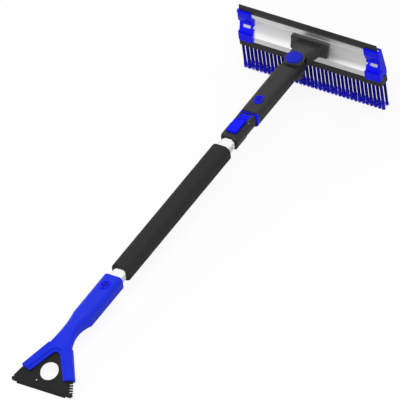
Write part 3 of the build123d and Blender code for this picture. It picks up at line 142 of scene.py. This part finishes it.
class BrushSizes(bpy.types.PropertyGroup):
    foam_corner: length_property("Foam corner", "Radius of the grip's four long edges", 12 * MM)
    foam_edge: length_property("Foam edge", "Radius of the grip's end rims", 2.0 * MM)
    foam_wall: length_property("Foam wall", "End rim, before the bore is fitted", 5.0 * MM)
    foam_dents: length_property("Foam dents", "Depth of the grip's unevenness", 0.5 * MM)
    first_row: length_property("First row", "Front row's distance from the swivel", 49.5 * MM)
    row_pitch: length_property("Row pitch", "Distance between the rows", 6.5 * MM)
    row_width: length_property("Row width", "Width of the backing of one row", 4.9 * MM)
    row_depth: length_property("Row depth", "Thickness of the backing of one row", 2.4 * MM)
    backing_drop: length_property("Backing drop", "Backing's foot below the swivel", 41.8 * MM)
    tuft_pitch: length_property("Tuft pitch", "Distance between the tufts of a row", 7.72 * MM)
    tuft_root: length_property("Tuft root", "Radius of a tuft at the backing", 2.3 * MM)
    tuft_tip: length_property("Tuft tip", "Radius of a tuft at its tip", 3.25 * MM)
    bristle_width: length_property("Bristle width", "Width of one filament", 0.62 * MM)
    tip_rounding: length_property("Tip rounding", "Outer filaments shorter by", 1.4 * MM)
    tip_raggedness: length_property("Tip raggedness", "Spread of the lengths", 0.6 * MM)
    tip_sway: length_property("Tip sway", "How far filaments and tufts stray", 0.18 * MM)
    row_shift: bpy.props.FloatProperty(
        name="Row shift", description="How far each row stands beside the one before it",
        default=-0.4 * MM, unit="LENGTH", precision=5,
    )
    tufts: bpy.props.IntProperty(
        name="Tufts", description="Tufts in the outer rows", default=36, min=2
    )
    filaments: bpy.props.IntProperty(
        name="Filaments", description="Filaments in one tuft", default=34, min=1
    )


class BrushColours(bpy.types.PropertyGroup):
    handle: colour_property("Handle", "Scraper handle", (0.007, 0.023, 0.67))
    disc: colour_property("Pivot button", "Large round button", (0.0015, 0.012, 0.53))
    # Painted light: the bracket's black is lighter than the other mouldings' to make up for the light its faces
    # miss.
    bracket: colour_property("Bracket", "Head bracket", (0.034, 0.034, 0.0345))
    button: colour_property("Buttons", "Buttons, lever and ring", (0.0005, 0.004, 0.88))
    cap: colour_property("End caps", "Caps of the brush head", (0.001, 0.001, 0.90))
    moulding: colour_property("Black mouldings", "Neck and collar", (0.019, 0.019, 0.0195))
    blade: colour_property("Blade", "Scraper blade", (0.005, 0.005, 0.005))
    rubber: colour_property("Rubber", "Squeegee and brush backing", (0.010, 0.010, 0.010))
    foam: colour_property("Foam", "Grip", (0.023, 0.023, 0.0235))
    aluminium: colour_property("Aluminium", "Pole and head section", (0.92, 0.92, 0.925))
    bristle: colour_property("Bristles", "Filaments in shade", (0.003, 0.002, 0.24))
    bristle_light: colour_property("Bristle light", "Filaments in light", (0.026, 0.022, 0.84))
    steel: colour_property("Steel", "Screws, pins and springs", (0.62, 0.62, 0.63))
    acetal: colour_property("Inner plastic", "Bush, plug and gear", (0.10, 0.10, 0.11))


class StageSettings(bpy.types.PropertyGroup):
    azimuth: angle_property("Azimuth", "Camera round the object", 33.852)
    elevation: angle_property("Elevation", "Camera above the floor", 38.114)
    roll: angle_property("Roll", "Camera about its own line of sight", -5.157)
    lens: bpy.props.FloatProperty(
        name="Lens", description="Focal length, long so that the view is nearly parallel",
        default=1700.0, min=1.0, unit="CAMERA",
    )
    frame_width: length_property("Frame width", "Width of the view at the object", 668.75 * MM)
    aim: length_property("Aim", "Point of the pole that is looked at, from the swivel", 385 * MM)
    aim_right: length_property("Aim right", "View's middle to the right of it", 34.36 * MM)
    aim_above: length_property("Aim above", "View's middle above it", 4.1 * MM)
    background: colour_property("Background", "Floor and surroundings", (1.0, 1.0, 1.0))
    floor: colour_property("Floor", "Floor as the object reflects it", (0.62, 0.62, 0.62))
    key_power: bpy.props.FloatProperty(
        name="Key light", description="Power of the large soft light", default=26.0, unit="POWER"
    )
    fill_power: bpy.props.FloatProperty(
        name="Fill light", description="Power of the smaller light", default=9.0, unit="POWER"
    )
    ambient: bpy.props.FloatProperty(
        name="Ambient", description="Strength of the light from all round", default=0.55, min=0.0
    )


# ---- shader maths ------------------------------------------------------------------------
class Value:
    """A socket that arithmetic works on: each operator adds the Math node that does it."""

    def __init__(self, finish, socket):
        self.finish = finish
        self.socket = socket

    def maths(self, operation, *inputs):
        return self.finish.node(
            "ShaderNodeMath", {"operation": operation}, dict(enumerate(inputs))
        ).out()

    def __add__(self, other):
        return self.maths("ADD", self, other)

    def __mul__(self, other):
        return self.maths("MULTIPLY", self, other)

    def __sub__(self, other):
        return self.maths("SUBTRACT", self, other)

    def __rsub__(self, other):
        return self.maths("SUBTRACT", other, self)

    __radd__ = __add__
    __rmul__ = __mul__

    def step(self, low, high):
        """0 below low, 1 above high and smooth in between."""
        return self.finish.node(
            "ShaderNodeMapRange",
            {"interpolation_type": "SMOOTHSTEP"},
            {"Value": self, "From Min": low, "From Max": high},
        ).out()


class Node:
    """A node of a finish, with its outputs as values."""

    def __init__(self, finish, node):
        self.finish = finish
        self.node = node

    def out(self, name=0):
        return Value(self.finish, self.node.outputs[name])


class Finish:
    """One material, its nodes and its shader."""

    def __init__(self, name, colour, metallic=0.0, roughness=0.5, **constants):
        self.material = bpy.data.materials.new(name)
        self.material.use_nodes = True
        self.material.diffuse_color = (*colour, 1.0)
        self.tree = self.material.node_tree
        self.shader = self.tree.nodes["Principled BSDF"]
        self.set("Base Color", colour)
        self.set("Metallic", metallic)
        self.set("Roughness", roughness)
        for socket, value in constants.items():
            self.set(socket.replace("_", " ").title().replace("Ior", "IOR"), value)

    def feed(self, socket, value):
        """Links or sets one input."""
        if isinstance(value, Value):
            self.tree.links.new(value.socket, socket)
        elif hasattr(socket.default_value, "__len__") and len(value) < len(socket.default_value):
            socket.default_value = (*value, 1.0)
        else:
            socket.default_value = value

    def set(self, name, value):
        self.feed(self.shader.inputs[name], value)

    def node(self, kind, settings=None, sockets=None):
        """Adds a node: its settings first, then its inputs by name or number."""
        made = self.tree.nodes.new(kind)
        for name, value in (settings or {}).items():
            if name == "stops":
                self.ramp(made.color_ramp, value)
            else:
                setattr(made, name, value)
        for name, value in (sockets or {}).items():
            self.feed(made.inputs[name], value)
        return Node(self, made)

    @staticmethod
    def ramp(ramp, stops):
        while len(ramp.elements) < len(stops):
            ramp.elements.new(1.0)
        for element, (position, colour) in zip(ramp.elements, stops):
            element.position = position
            element.color = (*colour, 1.0)

    def place(self, stretch=(1.0, 1.0, 1.0), shift=(0.0, 0.0, 0.0)):
        """Object coordinates, drawn out along an axis by a small factor on it, and moved."""
        coordinates = self.node("ShaderNodeTexCoord").out("Object")
        return self.node(
            "ShaderNodeMapping", {"vector_type": "POINT"},
            {"Vector": coordinates, "Scale": stretch, "Location": shift},
        ).out()

    def noise(self, size, detail=2.0, stretch=(1.0, 1.0, 1.0), roughness=0.5):
        """Noise whose lumps are about a size across, in metres."""
        return self.node(
            "ShaderNodeTexNoise",
            {"noise_dimensions": "3D"},
            {
                "Vector": self.place(stretch), "Scale": 1.0 / size,
                "Detail": detail, "Roughness": roughness,
            },
        ).out()

    def cells(self, size):
        """Distance to the middle of the nearest cell, for foam and fine grain."""
        return self.node(
            "ShaderNodeTexVoronoi", {"feature": "F1"},
            {"Vector": self.place(), "Scale": 1.0 / size},
        ).out("Distance")

    def mix(self, share, low, high):
        """Colour between two, by a share from 0 to 1."""
        node = self.node("ShaderNodeMix", {"data_type": "RGBA"})
        self.feed(node.node.inputs["Factor"], share)
        inputs = [s for s in node.node.inputs if s.type == "RGBA"]
        self.feed(inputs[0], low)
        self.feed(inputs[1], high)
        outputs = [s for s in node.node.outputs if s.type == "RGBA"]
        return Value(self, outputs[0])

    def ellipse(self, middle, halves):
        """Distance from a point in object coordinates, as a share of two half lengths."""
        scale = [1.0 / halves[0], 1.0 / halves[1], 0.0]
        shift = [-centre * factor for centre, factor in zip(middle, scale)]
        away = self.place(scale, shift)
        return self.node("ShaderNodeVectorMath", {"operation": "LENGTH"}, {0: away}).out("Value")

    def reach(self, axis):
        """How far a point lies from the swivel along an axis, in object coordinates."""
        along = self.node(
            "ShaderNodeVectorMath", {"operation": "DOT_PRODUCT"}, {0: self.place(), 1: axis}
        ).out("Value")
        return along - SWIVEL.dot(axis)

    def bump(self, height, depth, strength=1.0, edge=None):
        """Relief of a depth in metres on the shader's normal, over edges rounded by a radius."""
        sockets = {"Height": height, "Distance": depth, "Strength": strength}
        if edge:
            rounded = self.node("ShaderNodeBevel", {"samples": 6}, {"Radius": edge})
            sockets["Normal"] = rounded.out("Normal")
        self.set("Normal", self.node("ShaderNodeBump", None, sockets).out("Normal"))

    def grain(self, size, depth):
        """Grain of a moulding, over its softened edges."""
        self.bump(self.noise(size), depth, GRAIN_STRENGTH, EDGE_SOFTNESS)


def shade(colour, factor):
    return tuple(min(1.0, channel * factor) for channel in colour)


# ---- finishes ----------------------------------------------------------------------------
def moulded(name, colour, roughness, gloss=0.3, grain=FINE_GRAIN):
    """Injection-moulded plastic: spark-eroded grain, uneven gloss and faint handling marks."""
    finish = Finish(name, colour, roughness=roughness, specular_ior_level=gloss)
    cloud = finish.noise(28 * MM, 3.0)
    scuff = finish.noise(3.5 * MM, 5.0, (1.0, 0.25, 1.0)).step(0.60, 0.78)
    finish.set("Base Color", finish.mix(cloud, shade(colour, 0.90), shade(colour, 1.10)))
    finish.set("Roughness", cloud * 0.10 + scuff * 0.08 + (roughness - 0.05))
    finish.grain(*grain)
    return finish.material


def dished(name, colour, node):
    """Oval button: a glossy rim round a dish; the dish is painted darker as shade in its hollow, the rim a little
    lighter as a painted highlight.
    """
    low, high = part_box(node)
    finish = Finish(name, colour, roughness=0.32, specular_ior_level=0.2)
    dish = finish.ellipse((low + high) / 2, (high - low) / 2).step(0.62, 0.78)
    # Painted shade in the dish and a painted highlight on the rim.
    finish.set("Base Color", finish.mix(dish, shade(colour, 0.5), shade(colour, 1.1)))
    finish.set("Roughness", dish * -0.15 + 0.45)
    finish.grain(*FINE_GRAIN)
    return finish.material


def shaded_ring(name, colour, node):
    """Coupling ring: its upper side, which lies in the neck's shade, is darker."""
    _, (end, _), (_, top) = pole_spans(node)
    finish = Finish(name, colour, roughness=0.35, specular_ior_level=0.15)
    height = finish.reach(UP).step(*(top - depth for depth in RING_SHADE))
    upper = height * finish.reach(ALONG).step(*(end + reach for reach in RING_RIM))
    finish.set("Base Color", finish.mix(upper, colour, shade(colour, 0.10)))
    finish.set("Roughness", upper * 0.2 + 0.35)
    finish.grain(*FINE_GRAIN)
    return finish.material


def drawn_metal(name, colour, roughness, stretch, line=0.35 * MM):
    """Aluminium drawn or extruded along one axis, with lines along it and a slight bloom."""
    finish = Finish(name, colour, metallic=1.0, roughness=roughness)
    lines = finish.noise(line, 3.0, stretch)
    bloom = finish.noise(30 * MM, 3.0, stretch)
    finish.set("Base Color", finish.mix(bloom, shade(colour, 0.94), shade(colour, 1.06)))
    finish.set("Roughness", lines * 0.12 + bloom * 0.06 + (roughness - 0.09))
    finish.bump(lines, 0.01 * MM, 0.25)
    return finish.material


def foam(name, colour):
    """Closed-cell foam with a soft skin of tiny cells."""
    finish = Finish(
        name, colour, roughness=0.88, specular_ior_level=0.12,
        sheen_weight=0.04, sheen_roughness=0.5,
    )
    cells = finish.cells(0.9 * MM)
    lumps = finish.noise(9 * MM, 4.0)
    fleck = cells.step(0.15, 0.75)
    finish.set("Base Color", finish.mix(fleck, shade(colour, 0.72), shade(colour, 1.28)))
    finish.set("Roughness", lumps * 0.10 + 0.82)
    finish.bump(cells * 0.7 + lumps * 0.6, 0.20 * MM, 0.6)
    return finish.material


def rubber(name, colour, roughness=0.55):
    """Extruded rubber: drawn along the head, with a dusty bloom."""
    finish = Finish(name, colour, roughness=roughness)
    drawn = finish.noise(1.2 * MM, 3.0, (0.04, 1.0, 1.0))
    dust = finish.noise(16 * MM, 4.0).step(0.45, 0.75)
    finish.set("Base Color", finish.mix(dust * 0.5 + drawn * 0.2, colour, shade(colour, 1.5)))
    finish.set("Roughness", drawn * 0.12 + (roughness - 0.06))
    finish.bump(drawn, 0.03 * MM, 0.4)
    return finish.material


def filament(name, shaded, lit):
    """Nylon bristles: navy painted shade towards the roots, where the tufts are dense, and brighter painted light
    towards the tips.
    """
    finish = Finish(name, shaded, roughness=0.45, specular_ior_level=0.08)
    strand = finish.node("ShaderNodeUVMap", {"uv_map": "strand"}).out()
    split = finish.node("ShaderNodeSeparateXYZ", None, {"Vector": strand})
    tone, reach = split.out("X"), split.out("Y")
    # Painted shade near the roots and painted light towards the tips, shifted a little by each filament's own
    # tone.
    share = reach.step(0.45, 0.85) * 0.75 + tone * 0.3 - 0.10
    finish.set("Base Color", finish.mix(share, shaded, lit))
    finish.set("Roughness", tone * 0.2 + 0.32)
    return finish.material


def steel(name, colour):
    """Plated steel of the small fasteners and springs."""
    finish = Finish(name, colour, metallic=1.0, roughness=0.3)
    marks = finish.noise(0.8 * MM, 4.0)
    finish.set("Roughness", marks * 0.2 + 0.2)
    finish.set("Base Color", finish.mix(marks, shade(colour, 0.85), shade(colour, 1.1)))
    return finish.material


def make_finishes(colours):
    """All materials by the name of their slot."""
    return {
        "handle_blue": moulded("handle_blue", colours.handle, 0.42, 0.15),
        "button_blue": moulded("button_blue", colours.button, 0.32, 0.12),
        "cap_blue": moulded("cap_blue", colours.cap, 0.34, 0.2),
        "black_plastic": moulded("black_plastic", colours.moulding, 0.44, 0.3, COARSE_GRAIN),
        "blade_plastic": moulded("blade_plastic", colours.blade, 0.40, 0.2),
        "black_rubber": rubber("black_rubber", colours.rubber),
        "foam_black": foam("foam_black", colours.foam),
        "tube_aluminium": drawn_metal(
            "tube_aluminium", colours.aluminium, 0.16, (1.0, 0.02, 1.0)
        ),
        "head_aluminium": drawn_metal(
            "head_aluminium", colours.aluminium, 0.34, (0.02, 1.0, 1.0)
        ),
        "bristle_blue": filament("bristle_blue", colours.bristle, colours.bristle_light),
        "steel": steel("steel", colours.steel),
        "inner_plastic": moulded("inner_plastic", colours.acetal, 0.5),
    }


def make_own_finishes(colours):
    """Variants of a slot's finish, by the one piece that wears each."""
    return {
        "pivot_button": moulded("pivot_blue", colours.disc, 0.36, 0.2),
        # The bracket's black is painted lighter, as painted light for the light its faces miss.
        "head_bracket": moulded("bracket_black", colours.bracket, 0.40, 0.4, COARSE_GRAIN),
        "neck_button": dished("neck_button_blue", colours.button, "neck_button"),
        "scraper_button": dished("scraper_button_blue", colours.button, "scraper_button"),
        "coupling_ring": shaded_ring("ring_blue", colours.button, "coupling_ring"),
    }


# ---- modelling by hand -------------------------------------------------------------------
def deselect():
    for obj in bpy.context.selected_objects:
        obj.select_set(False)


def pick(obj):
    """Makes one object the only selected one and the active one."""
    deselect()
    obj.select_set(True)
    bpy.context.view_layer.objects.active = obj


def edit(obj):
    pick(obj)
    bpy.ops.object.mode_set(mode="EDIT")


def leave():
    bpy.ops.object.mode_set(mode="OBJECT")


def settle(obj):
    """Puts the object's place and turn into its mesh."""
    pick(obj)
    bpy.ops.object.transform_apply(location=True, rotation=True, scale=True)


def apply_modifiers(obj):
    pick(obj)
    for modifier in list(obj.modifiers):
        bpy.ops.object.modifier_apply(modifier=modifier.name)


def pick_parts(obj, parts, test):
    """Selects the faces or edges of a mesh in edit mode that pass a test."""
    bpy.ops.mesh.select_mode(type="EDGE" if parts == "edges" else "FACE")
    bpy.ops.mesh.select_all(action="DESELECT")
    leave()
    for part in getattr(obj.data, parts):
        part.select = test(part)
    bpy.ops.object.mode_set(mode="EDIT")


def open_edges(obj):
    """Numbers of the edges that only one face meets."""
    uses = {}
    for face in obj.data.polygons:
        for loop in face.loop_indices:
            edge = obj.data.loops[loop].edge_index
            uses[edge] = uses.get(edge, 0) + 1
    return {edge for edge, count in uses.items() if count == 1}


def edge_run(obj, edge):
    """Direction of an edge and its middle."""
    start, end = (obj.data.vertices[index].co for index in edge.vertices)
    return (end - start).normalized(), (start + end) / 2


def pole_spans(node):
    """Lowest and highest reach of a CAD node across, along and above the pole, from the swivel."""
    points = [vertex.co - SWIVEL for vertex in frame["nodes"][node].data.vertices]
    return [
        (min(point.dot(axis) for point in points), max(point.dot(axis) for point in points))
        for axis in (ACROSS, ALONG, UP)
    ]


def smooth(obj, degrees=35):
    pick(obj)
    bpy.ops.object.shade_smooth_by_angle(angle=math.radians(degrees))


def tip(obj):
    """Turns a piece from the pole's own axes into the frame, and applies that."""
    obj.matrix_world = POLE_FRAME
    settle(obj)


def finish_piece(obj, name, body, slot, node=None):
    """Names a piece, gives it its finish, and hands it to the frame."""
    obj.name = name
    obj.data.name = name
    obj.data.materials.clear()
    obj.data.materials.append(FINISHES[slot])
    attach(obj, body)
    if node:
        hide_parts(node)
    return obj


# ---- operators ---------------------------------------------------------------------------
class SNOWBRUSH_OT_stage(bpy.types.Operator):
    """Set up the camera, the floor and the lights"""

    bl_idname = "snowbrush.stage"
    bl_label = "Stage"

    def execute(self, context):
        settings = context.scene.brush_stage
        self.camera(context, settings)
        self.floor(settings)
        self.lights(settings)
        self.world(context, settings)
        context.scene.view_settings.view_transform = "Standard"
        return {"FINISHED"}

    def camera(self, context, settings):
        turn = Euler((math.pi / 2 - settings.elevation, 0.0, settings.azimuth)).to_matrix()
        turn = turn @ Euler((0.0, 0.0, settings.roll)).to_matrix()
        right, up, back = turn.col
        data = bpy.data.cameras.new("Camera")
        data.lens = settings.lens
        distance = settings.frame_width * data.lens / data.sensor_width
        target = SWIVEL - ALONG * settings.aim
        target += right * settings.aim_right + up * settings.aim_above
        camera = bpy.data.objects.new("Camera", data)
        camera.matrix_world = turn.to_4x4()
        camera.location = target + back * distance
        data.clip_end = 4 * distance
        context.collection.objects.link(camera)
        context.scene.camera = camera

    def floor(self, settings):
        deselect()
        bpy.ops.mesh.primitive_plane_add(size=FLOOR_SIZE, location=(0.0, 0.0, 0.0))
        floor = bpy.context.active_object
        floor.name = "floor"
        finish = Finish("floor_white", settings.background, roughness=0.9, specular_ior_level=0.1)
        glow = finish.node(
            "ShaderNodeEmission", None, {"Color": settings.background, "Strength": 1.0}
        )
        seen = finish.node("ShaderNodeLightPath").out("Is Camera Ray")
        finish.set("Base Color", finish.mix(seen, settings.floor, settings.background))
        blend = finish.node("ShaderNodeMixShader", None, {0: seen * FLOOR_GLOW})
        finish.tree.links.new(finish.shader.outputs[0], blend.node.inputs[1])
        finish.tree.links.new(glow.node.outputs[0], blend.node.inputs[2])
        output = finish.tree.nodes["Material Output"]
        finish.tree.links.new(blend.node.outputs[0], output.inputs["Surface"])
        floor.data.materials.append(finish.material)

    def lights(self, settings):
        middle = (CAD_BOX[0] + CAD_BOX[1]) / 2
        powers = (settings.key_power, settings.fill_power)
        for (name, (offset, size)), power in zip(LIGHTS.items(), powers):
            self.softbox(name, middle + Vector(offset), middle, size, power)

    def softbox(self, name, place, target, size, power):
        light = bpy.data.lights.new(name, "AREA")
        light.shape = "SQUARE"
        light.size = size
        light.energy = power
        obj = bpy.data.objects.new(name, light)
        obj.location = place
        obj.rotation_euler = (target - place).to_track_quat("-Z", "Y").to_euler()
        bpy.context.collection.objects.link(obj)

    def world(self, context, settings):
        world = bpy.data.worlds.new("Surroundings")
        world.use_nodes = True
        context.scene.world = world
        nodes, links = world.node_tree.nodes, world.node_tree.links
        light = nodes["Background"]
        light.inputs["Color"].default_value = (*settings.background, 1.0)
        light.inputs["Strength"].default_value = settings.ambient
        seen = nodes.new("ShaderNodeBackground")
        seen.inputs["Color"].default_value = (*settings.background, 1.0)
        path = nodes.new("ShaderNodeLightPath")
        either = nodes.new("ShaderNodeMath")
        either.operation = "MAXIMUM"
        links.new(path.outputs["Is Camera Ray"], either.inputs[0])
        links.new(path.outputs["Is Glossy Ray"], either.inputs[1])
        blend = nodes.new("ShaderNodeMixShader")
        links.new(either.outputs[0], blend.inputs[0])
        links.new(light.outputs[0], blend.inputs[1])
        links.new(seen.outputs[0], blend.inputs[2])
        links.new(blend.outputs[0], nodes["World Output"].inputs["Surface"])


class SNOWBRUSH_OT_finishes(bpy.types.Operator):
    """Make every finish and put it on the frame's rigid pieces"""

    bl_idname = "snowbrush.finishes"
    bl_label = "Finishes"

    def execute(self, context):
        FINISHES.update(make_finishes(context.scene.brush_colours))
        own = make_own_finishes(context.scene.brush_colours)
        for entry in frame["record"]["subparts"]:
            node = frame["nodes"][entry["node"]]
            node.data.materials.clear()
            node.data.materials.append(own.get(entry["node"]) or FINISHES[entry["material_slot"]])
        return {"FINISHED"}


class SNOWBRUSH_OT_foam_grip(bpy.types.Operator):
    """Model the foam sleeve round the pole"""

    bl_idname = "snowbrush.foam_grip"
    bl_label = "Foam Grip"

    def execute(self, context):
        sizes = context.scene.brush_sizes
        spans = pole_spans("foam_grip")
        sleeve = self.sleeve(sizes, spans)
        self.divide(sleeve, spans[1])
        self.knead(sleeve, sizes.foam_dents)
        smooth(sleeve, FOAM_SMOOTHING)
        tip(sleeve)
        finish_piece(sleeve, "foam_sleeve", "pole", "foam_black", "foam_grip")
        return {"FINISHED"}

    def sleeve(self, sizes, spans):
        """Bar with rounded long edges and rims, hollowed from both ends."""
        deselect()
        bpy.ops.mesh.primitive_cube_add(size=1.0)
        sleeve = bpy.context.active_object
        sleeve.location = [(low + high) / 2 for low, high in spans]
        sleeve.scale = [high - low for low, high in spans]
        settle(sleeve)
        edit(sleeve)
        pick_parts(sleeve, "edges", lambda edge: abs(edge_run(sleeve, edge)[0].y) > ALONG_POLE)
        bpy.ops.mesh.bevel(
            offset=sizes.foam_corner, segments=FOAM_CORNER_SEGMENTS, affect="EDGES"
        )
        low, high = spans[1]
        rim = sizes.foam_edge / 10
        pick_parts(
            sleeve, "edges",
            lambda edge: min(abs(edge_run(sleeve, edge)[1].y - end) for end in (low, high)) < rim
            and abs(edge_run(sleeve, edge)[0].y) < ACROSS_POLE,
        )
        bpy.ops.mesh.bevel(offset=sizes.foam_edge, segments=FOAM_RIM_SEGMENTS, affect="EDGES")
        pick_parts(
            sleeve, "polygons",
            lambda face: abs(face.normal.y) > END_FACING and len(face.vertices) > 4,
        )
        bpy.ops.mesh.inset(thickness=sizes.foam_wall - sizes.foam_edge, use_individual=True)
        fit = [
            (hole[1] - hole[0]) / (outer[1] - outer[0] - 2 * sizes.foam_wall)
            for hole, outer in zip(pole_spans("outer_tube"), spans)
        ]
        bpy.ops.transform.resize(value=(fit[0], 1, fit[2]), center_override=(0, 0, 0))
        bpy.ops.mesh.delete(type="FACE")
        pick_parts(sleeve, "edges", lambda edge: edge.index in open_edges(sleeve))
        bpy.ops.mesh.bridge_edge_loops()
        bpy.ops.mesh.select_all(action="SELECT")
        bpy.ops.mesh.normals_make_consistent(inside=False)
        leave()
        return sleeve

    def divide(self, sleeve, span):
        """Cuts rings along the sleeve, for the unevenness to bend."""
        edit(sleeve)
        for share in range(1, FOAM_STATIONS):
            y = span[0] + (span[1] - span[0]) * share / FOAM_STATIONS
            bpy.ops.mesh.select_all(action="SELECT")
            bpy.ops.mesh.bisect(plane_co=(0, y, 0), plane_no=(0, 1, 0))
        leave()

    def knead(self, sleeve, depth):
        """Soft unevenness of hand-cut foam, inwards only so that the sleeve keeps its size."""
        clouds = bpy.data.textures.new("foam_clouds", "CLOUDS")
        clouds.noise_scale = FOAM_CLOUD
        dents = sleeve.modifiers.new("dents", "DISPLACE")
        dents.texture = clouds
        dents.texture_coords = "LOCAL"
        dents.mid_level = 1.0
        dents.strength = depth
        apply_modifiers(sleeve)


class SNOWBRUSH_OT_bristles(bpy.types.Operator):
    """Model the three rows of bristle tufts and their backing"""

    bl_idname = "snowbrush.bristles"
    bl_label = "Bristles"

    def execute(self, context):
        sizes = context.scene.brush_sizes
        chance = np.random.default_rng(SEED)
        for number, node in enumerate(BRISTLE_ROWS):
            reach = sizes.first_row + number * sizes.row_pitch
            ground = -(SWIVEL.z + reach * ALONG.z) / UP.z
            length = -sizes.backing_drop - ground
            tufts = sizes.tufts - number % 2
            row = self.tuft(sizes, length)
            repeat = row.modifiers.new("tufts", "ARRAY")
            repeat.count = tufts
            repeat.use_relative_offset = False
            repeat.use_constant_offset = True
            repeat.constant_offset_displace = (sizes.tuft_pitch, 0, 0)
            apply_modifiers(row)
            spread = SPREAD_START + number * SPREAD_LAG
            self.fan_out(row, sizes, chance, (tufts, length), spread)
            start = (number - 1) * sizes.row_shift - (tufts - 1) / 2 * sizes.tuft_pitch
            row.location = (start, reach, -sizes.backing_drop)
            settle(row)
            tip(row)
            self.keep_in_box(row)
            finish_piece(row, node + "_tufts", "head", "bristle_blue", node)
            self.backing(sizes, reach, node)
        return {"FINISHED"}

    def tuft(self, sizes, length):
        """One tuft: square filaments in a round bundle, each drawn down ring by ring."""
        deselect()
        steps = [length * (end - start) for start, end in zip(RING_SHARES, RING_SHARES[1:])]
        for number in range(sizes.filaments):
            share = math.sqrt((number + 0.5) / sizes.filaments)
            angle = number * GOLDEN_ANGLE
            out = Vector((math.cos(angle), math.sin(angle), 0)) * share
            bpy.ops.mesh.primitive_circle_add(
                vertices=CORNERS, radius=sizes.bristle_width / 2, fill_type="NGON",
                location=out * sizes.tuft_root, rotation=(0, 0, angle),
            )
            if number == 0:
                edit(bpy.context.active_object)
            for step in steps:
                bpy.ops.mesh.extrude_region_move(
                    TRANSFORM_OT_translate={"value": (0, 0, -step)}
                )
        bpy.ops.mesh.select_all(action="SELECT")
        bpy.ops.mesh.normals_make_consistent(inside=False)
        leave()
        return bpy.context.active_object

    def fan_out(self, row, sizes, chance, extent, start):
        """Spreads every tuft from a share of its length on, frays it and rounds its end."""
        tufts, length = extent
        places = np.empty(len(row.data.vertices) * 3)
        row.data.vertices.foreach_get("co", places)
        places = places.reshape(tufts, sizes.filaments, RINGS, CORNERS, 3)
        ring = np.array(RING_SHARES)[None, None, :, None]
        middles = np.arange(tufts)[:, None, None, None] * sizes.tuft_pitch
        root = places.mean(axis=(2, 3), keepdims=True)
        out = (root[..., 0] - middles, root[..., 1])
        share = np.hypot(*out) / sizes.tuft_root
        rise = np.clip((ring - start) / (1 - start), 0, 1)
        growth = (sizes.tuft_tip / sizes.tuft_root - 1) * rise
        for axis in (0, 1):
            stray = chance.normal(0, sizes.tip_sway, (tufts, sizes.filaments, 1, 1))
            lean = chance.normal(0, sizes.tip_sway / 3, (tufts, 1, 1, 1))
            places[..., axis] += out[axis] * growth + (stray + lean) * ring**3
        ragged = chance.uniform(0, sizes.tip_raggedness, (tufts, sizes.filaments, 1, 1))
        places[..., 2] *= 1 - (ragged + sizes.tip_rounding * share**2) / length
        row.data.vertices.foreach_set("co", places.ravel())
        self.mark_strands(row, chance.random((tufts, sizes.filaments)))

    def mark_strands(self, row, tones):
        """UV map of the filaments: u is each one's own tone, v runs from root to tip."""
        corners = np.empty(len(row.data.loops), dtype=int)
        row.data.loops.foreach_get("vertex_index", corners)
        strand = corners // (RINGS * CORNERS)
        reach = np.array(RING_SHARES)[corners // CORNERS % RINGS]
        layer = row.data.uv_layers.new(name="strand")
        layer.data.foreach_set("uv", np.stack([tones.ravel()[strand], reach], axis=1).ravel())
        row.data.update()

    def keep_in_box(self, row):
        """Keeps stray tips off the ground and inside the frame's own box."""
        places = np.empty(len(row.data.vertices) * 3)
        row.data.vertices.foreach_get("co", places)
        places = np.clip(places.reshape(-1, 3), CAD_BOX[0], CAD_BOX[1])
        row.data.vertices.foreach_set("co", places.ravel())

    def backing(self, sizes, reach, node):
        """Bar of the brush backing that one row is stapled to."""
        deselect()
        bpy.ops.mesh.primitive_cube_add(size=1.0)
        bar = bpy.context.active_object
        bar.location = (0, reach, sizes.row_depth / 2 - sizes.backing_drop)
        length = (sizes.tufts - 1) * sizes.tuft_pitch + 2 * sizes.tuft_root
        bar.scale = (length, sizes.row_width, sizes.row_depth)
        settle(bar)
        edit(bar)
        bpy.ops.mesh.select_all(action="SELECT")
        bpy.ops.mesh.bevel(offset=BACKING_EDGE, segments=2, affect="EDGES")
        leave()
        smooth(bar)
        tip(bar)
        finish_piece(bar, node + "_backing", "head", "black_rubber")


class SNOWBRUSH_PT_panel(bpy.types.Panel):
    bl_label = "Snow Brush"
    bl_idname = "SNOWBRUSH_PT_panel"
    bl_space_type = "VIEW_3D"
    bl_region_type = "UI"
    bl_category = "Snow Brush"

    def draw(self, context):
        for group in (context.scene.brush_sizes, context.scene.brush_colours):
            column = self.layout.column(align=True)
            for name in group.bl_rna.properties.keys():
                if name not in ("rna_type", "name"):
                    column.prop(group, name)
        for operator in OPERATORS:
            self.layout.operator(operator.bl_idname)


OPERATORS = (
    SNOWBRUSH_OT_stage,
    SNOWBRUSH_OT_finishes,
    SNOWBRUSH_OT_foam_grip,
    SNOWBRUSH_OT_bristles,
)
GROUPS = {"brush_sizes": BrushSizes, "brush_colours": BrushColours, "brush_stage": StageSettings}


def register():
    for group in GROUPS.values():
        bpy.utils.register_class(group)
    for name, group in GROUPS.items():
        setattr(bpy.types.Scene, name, bpy.props.PointerProperty(type=group))
    for cls in (*OPERATORS, SNOWBRUSH_PT_panel):
        bpy.utils.register_class(cls)


def unregister():
    for cls in reversed((*OPERATORS, SNOWBRUSH_PT_panel)):
        bpy.utils.unregister_class(cls)
    for name, group in GROUPS.items():
        delattr(bpy.types.Scene, name)
        bpy.utils.unregister_class(group)


def main():
    register()
    bpy.ops.snowbrush.stage()
    bpy.ops.snowbrush.finishes()
    bpy.ops.snowbrush.foam_grip()
    bpy.ops.snowbrush.bristles()
    bpy.context.view_layer.update()


if __name__ == "__main__":
    main()
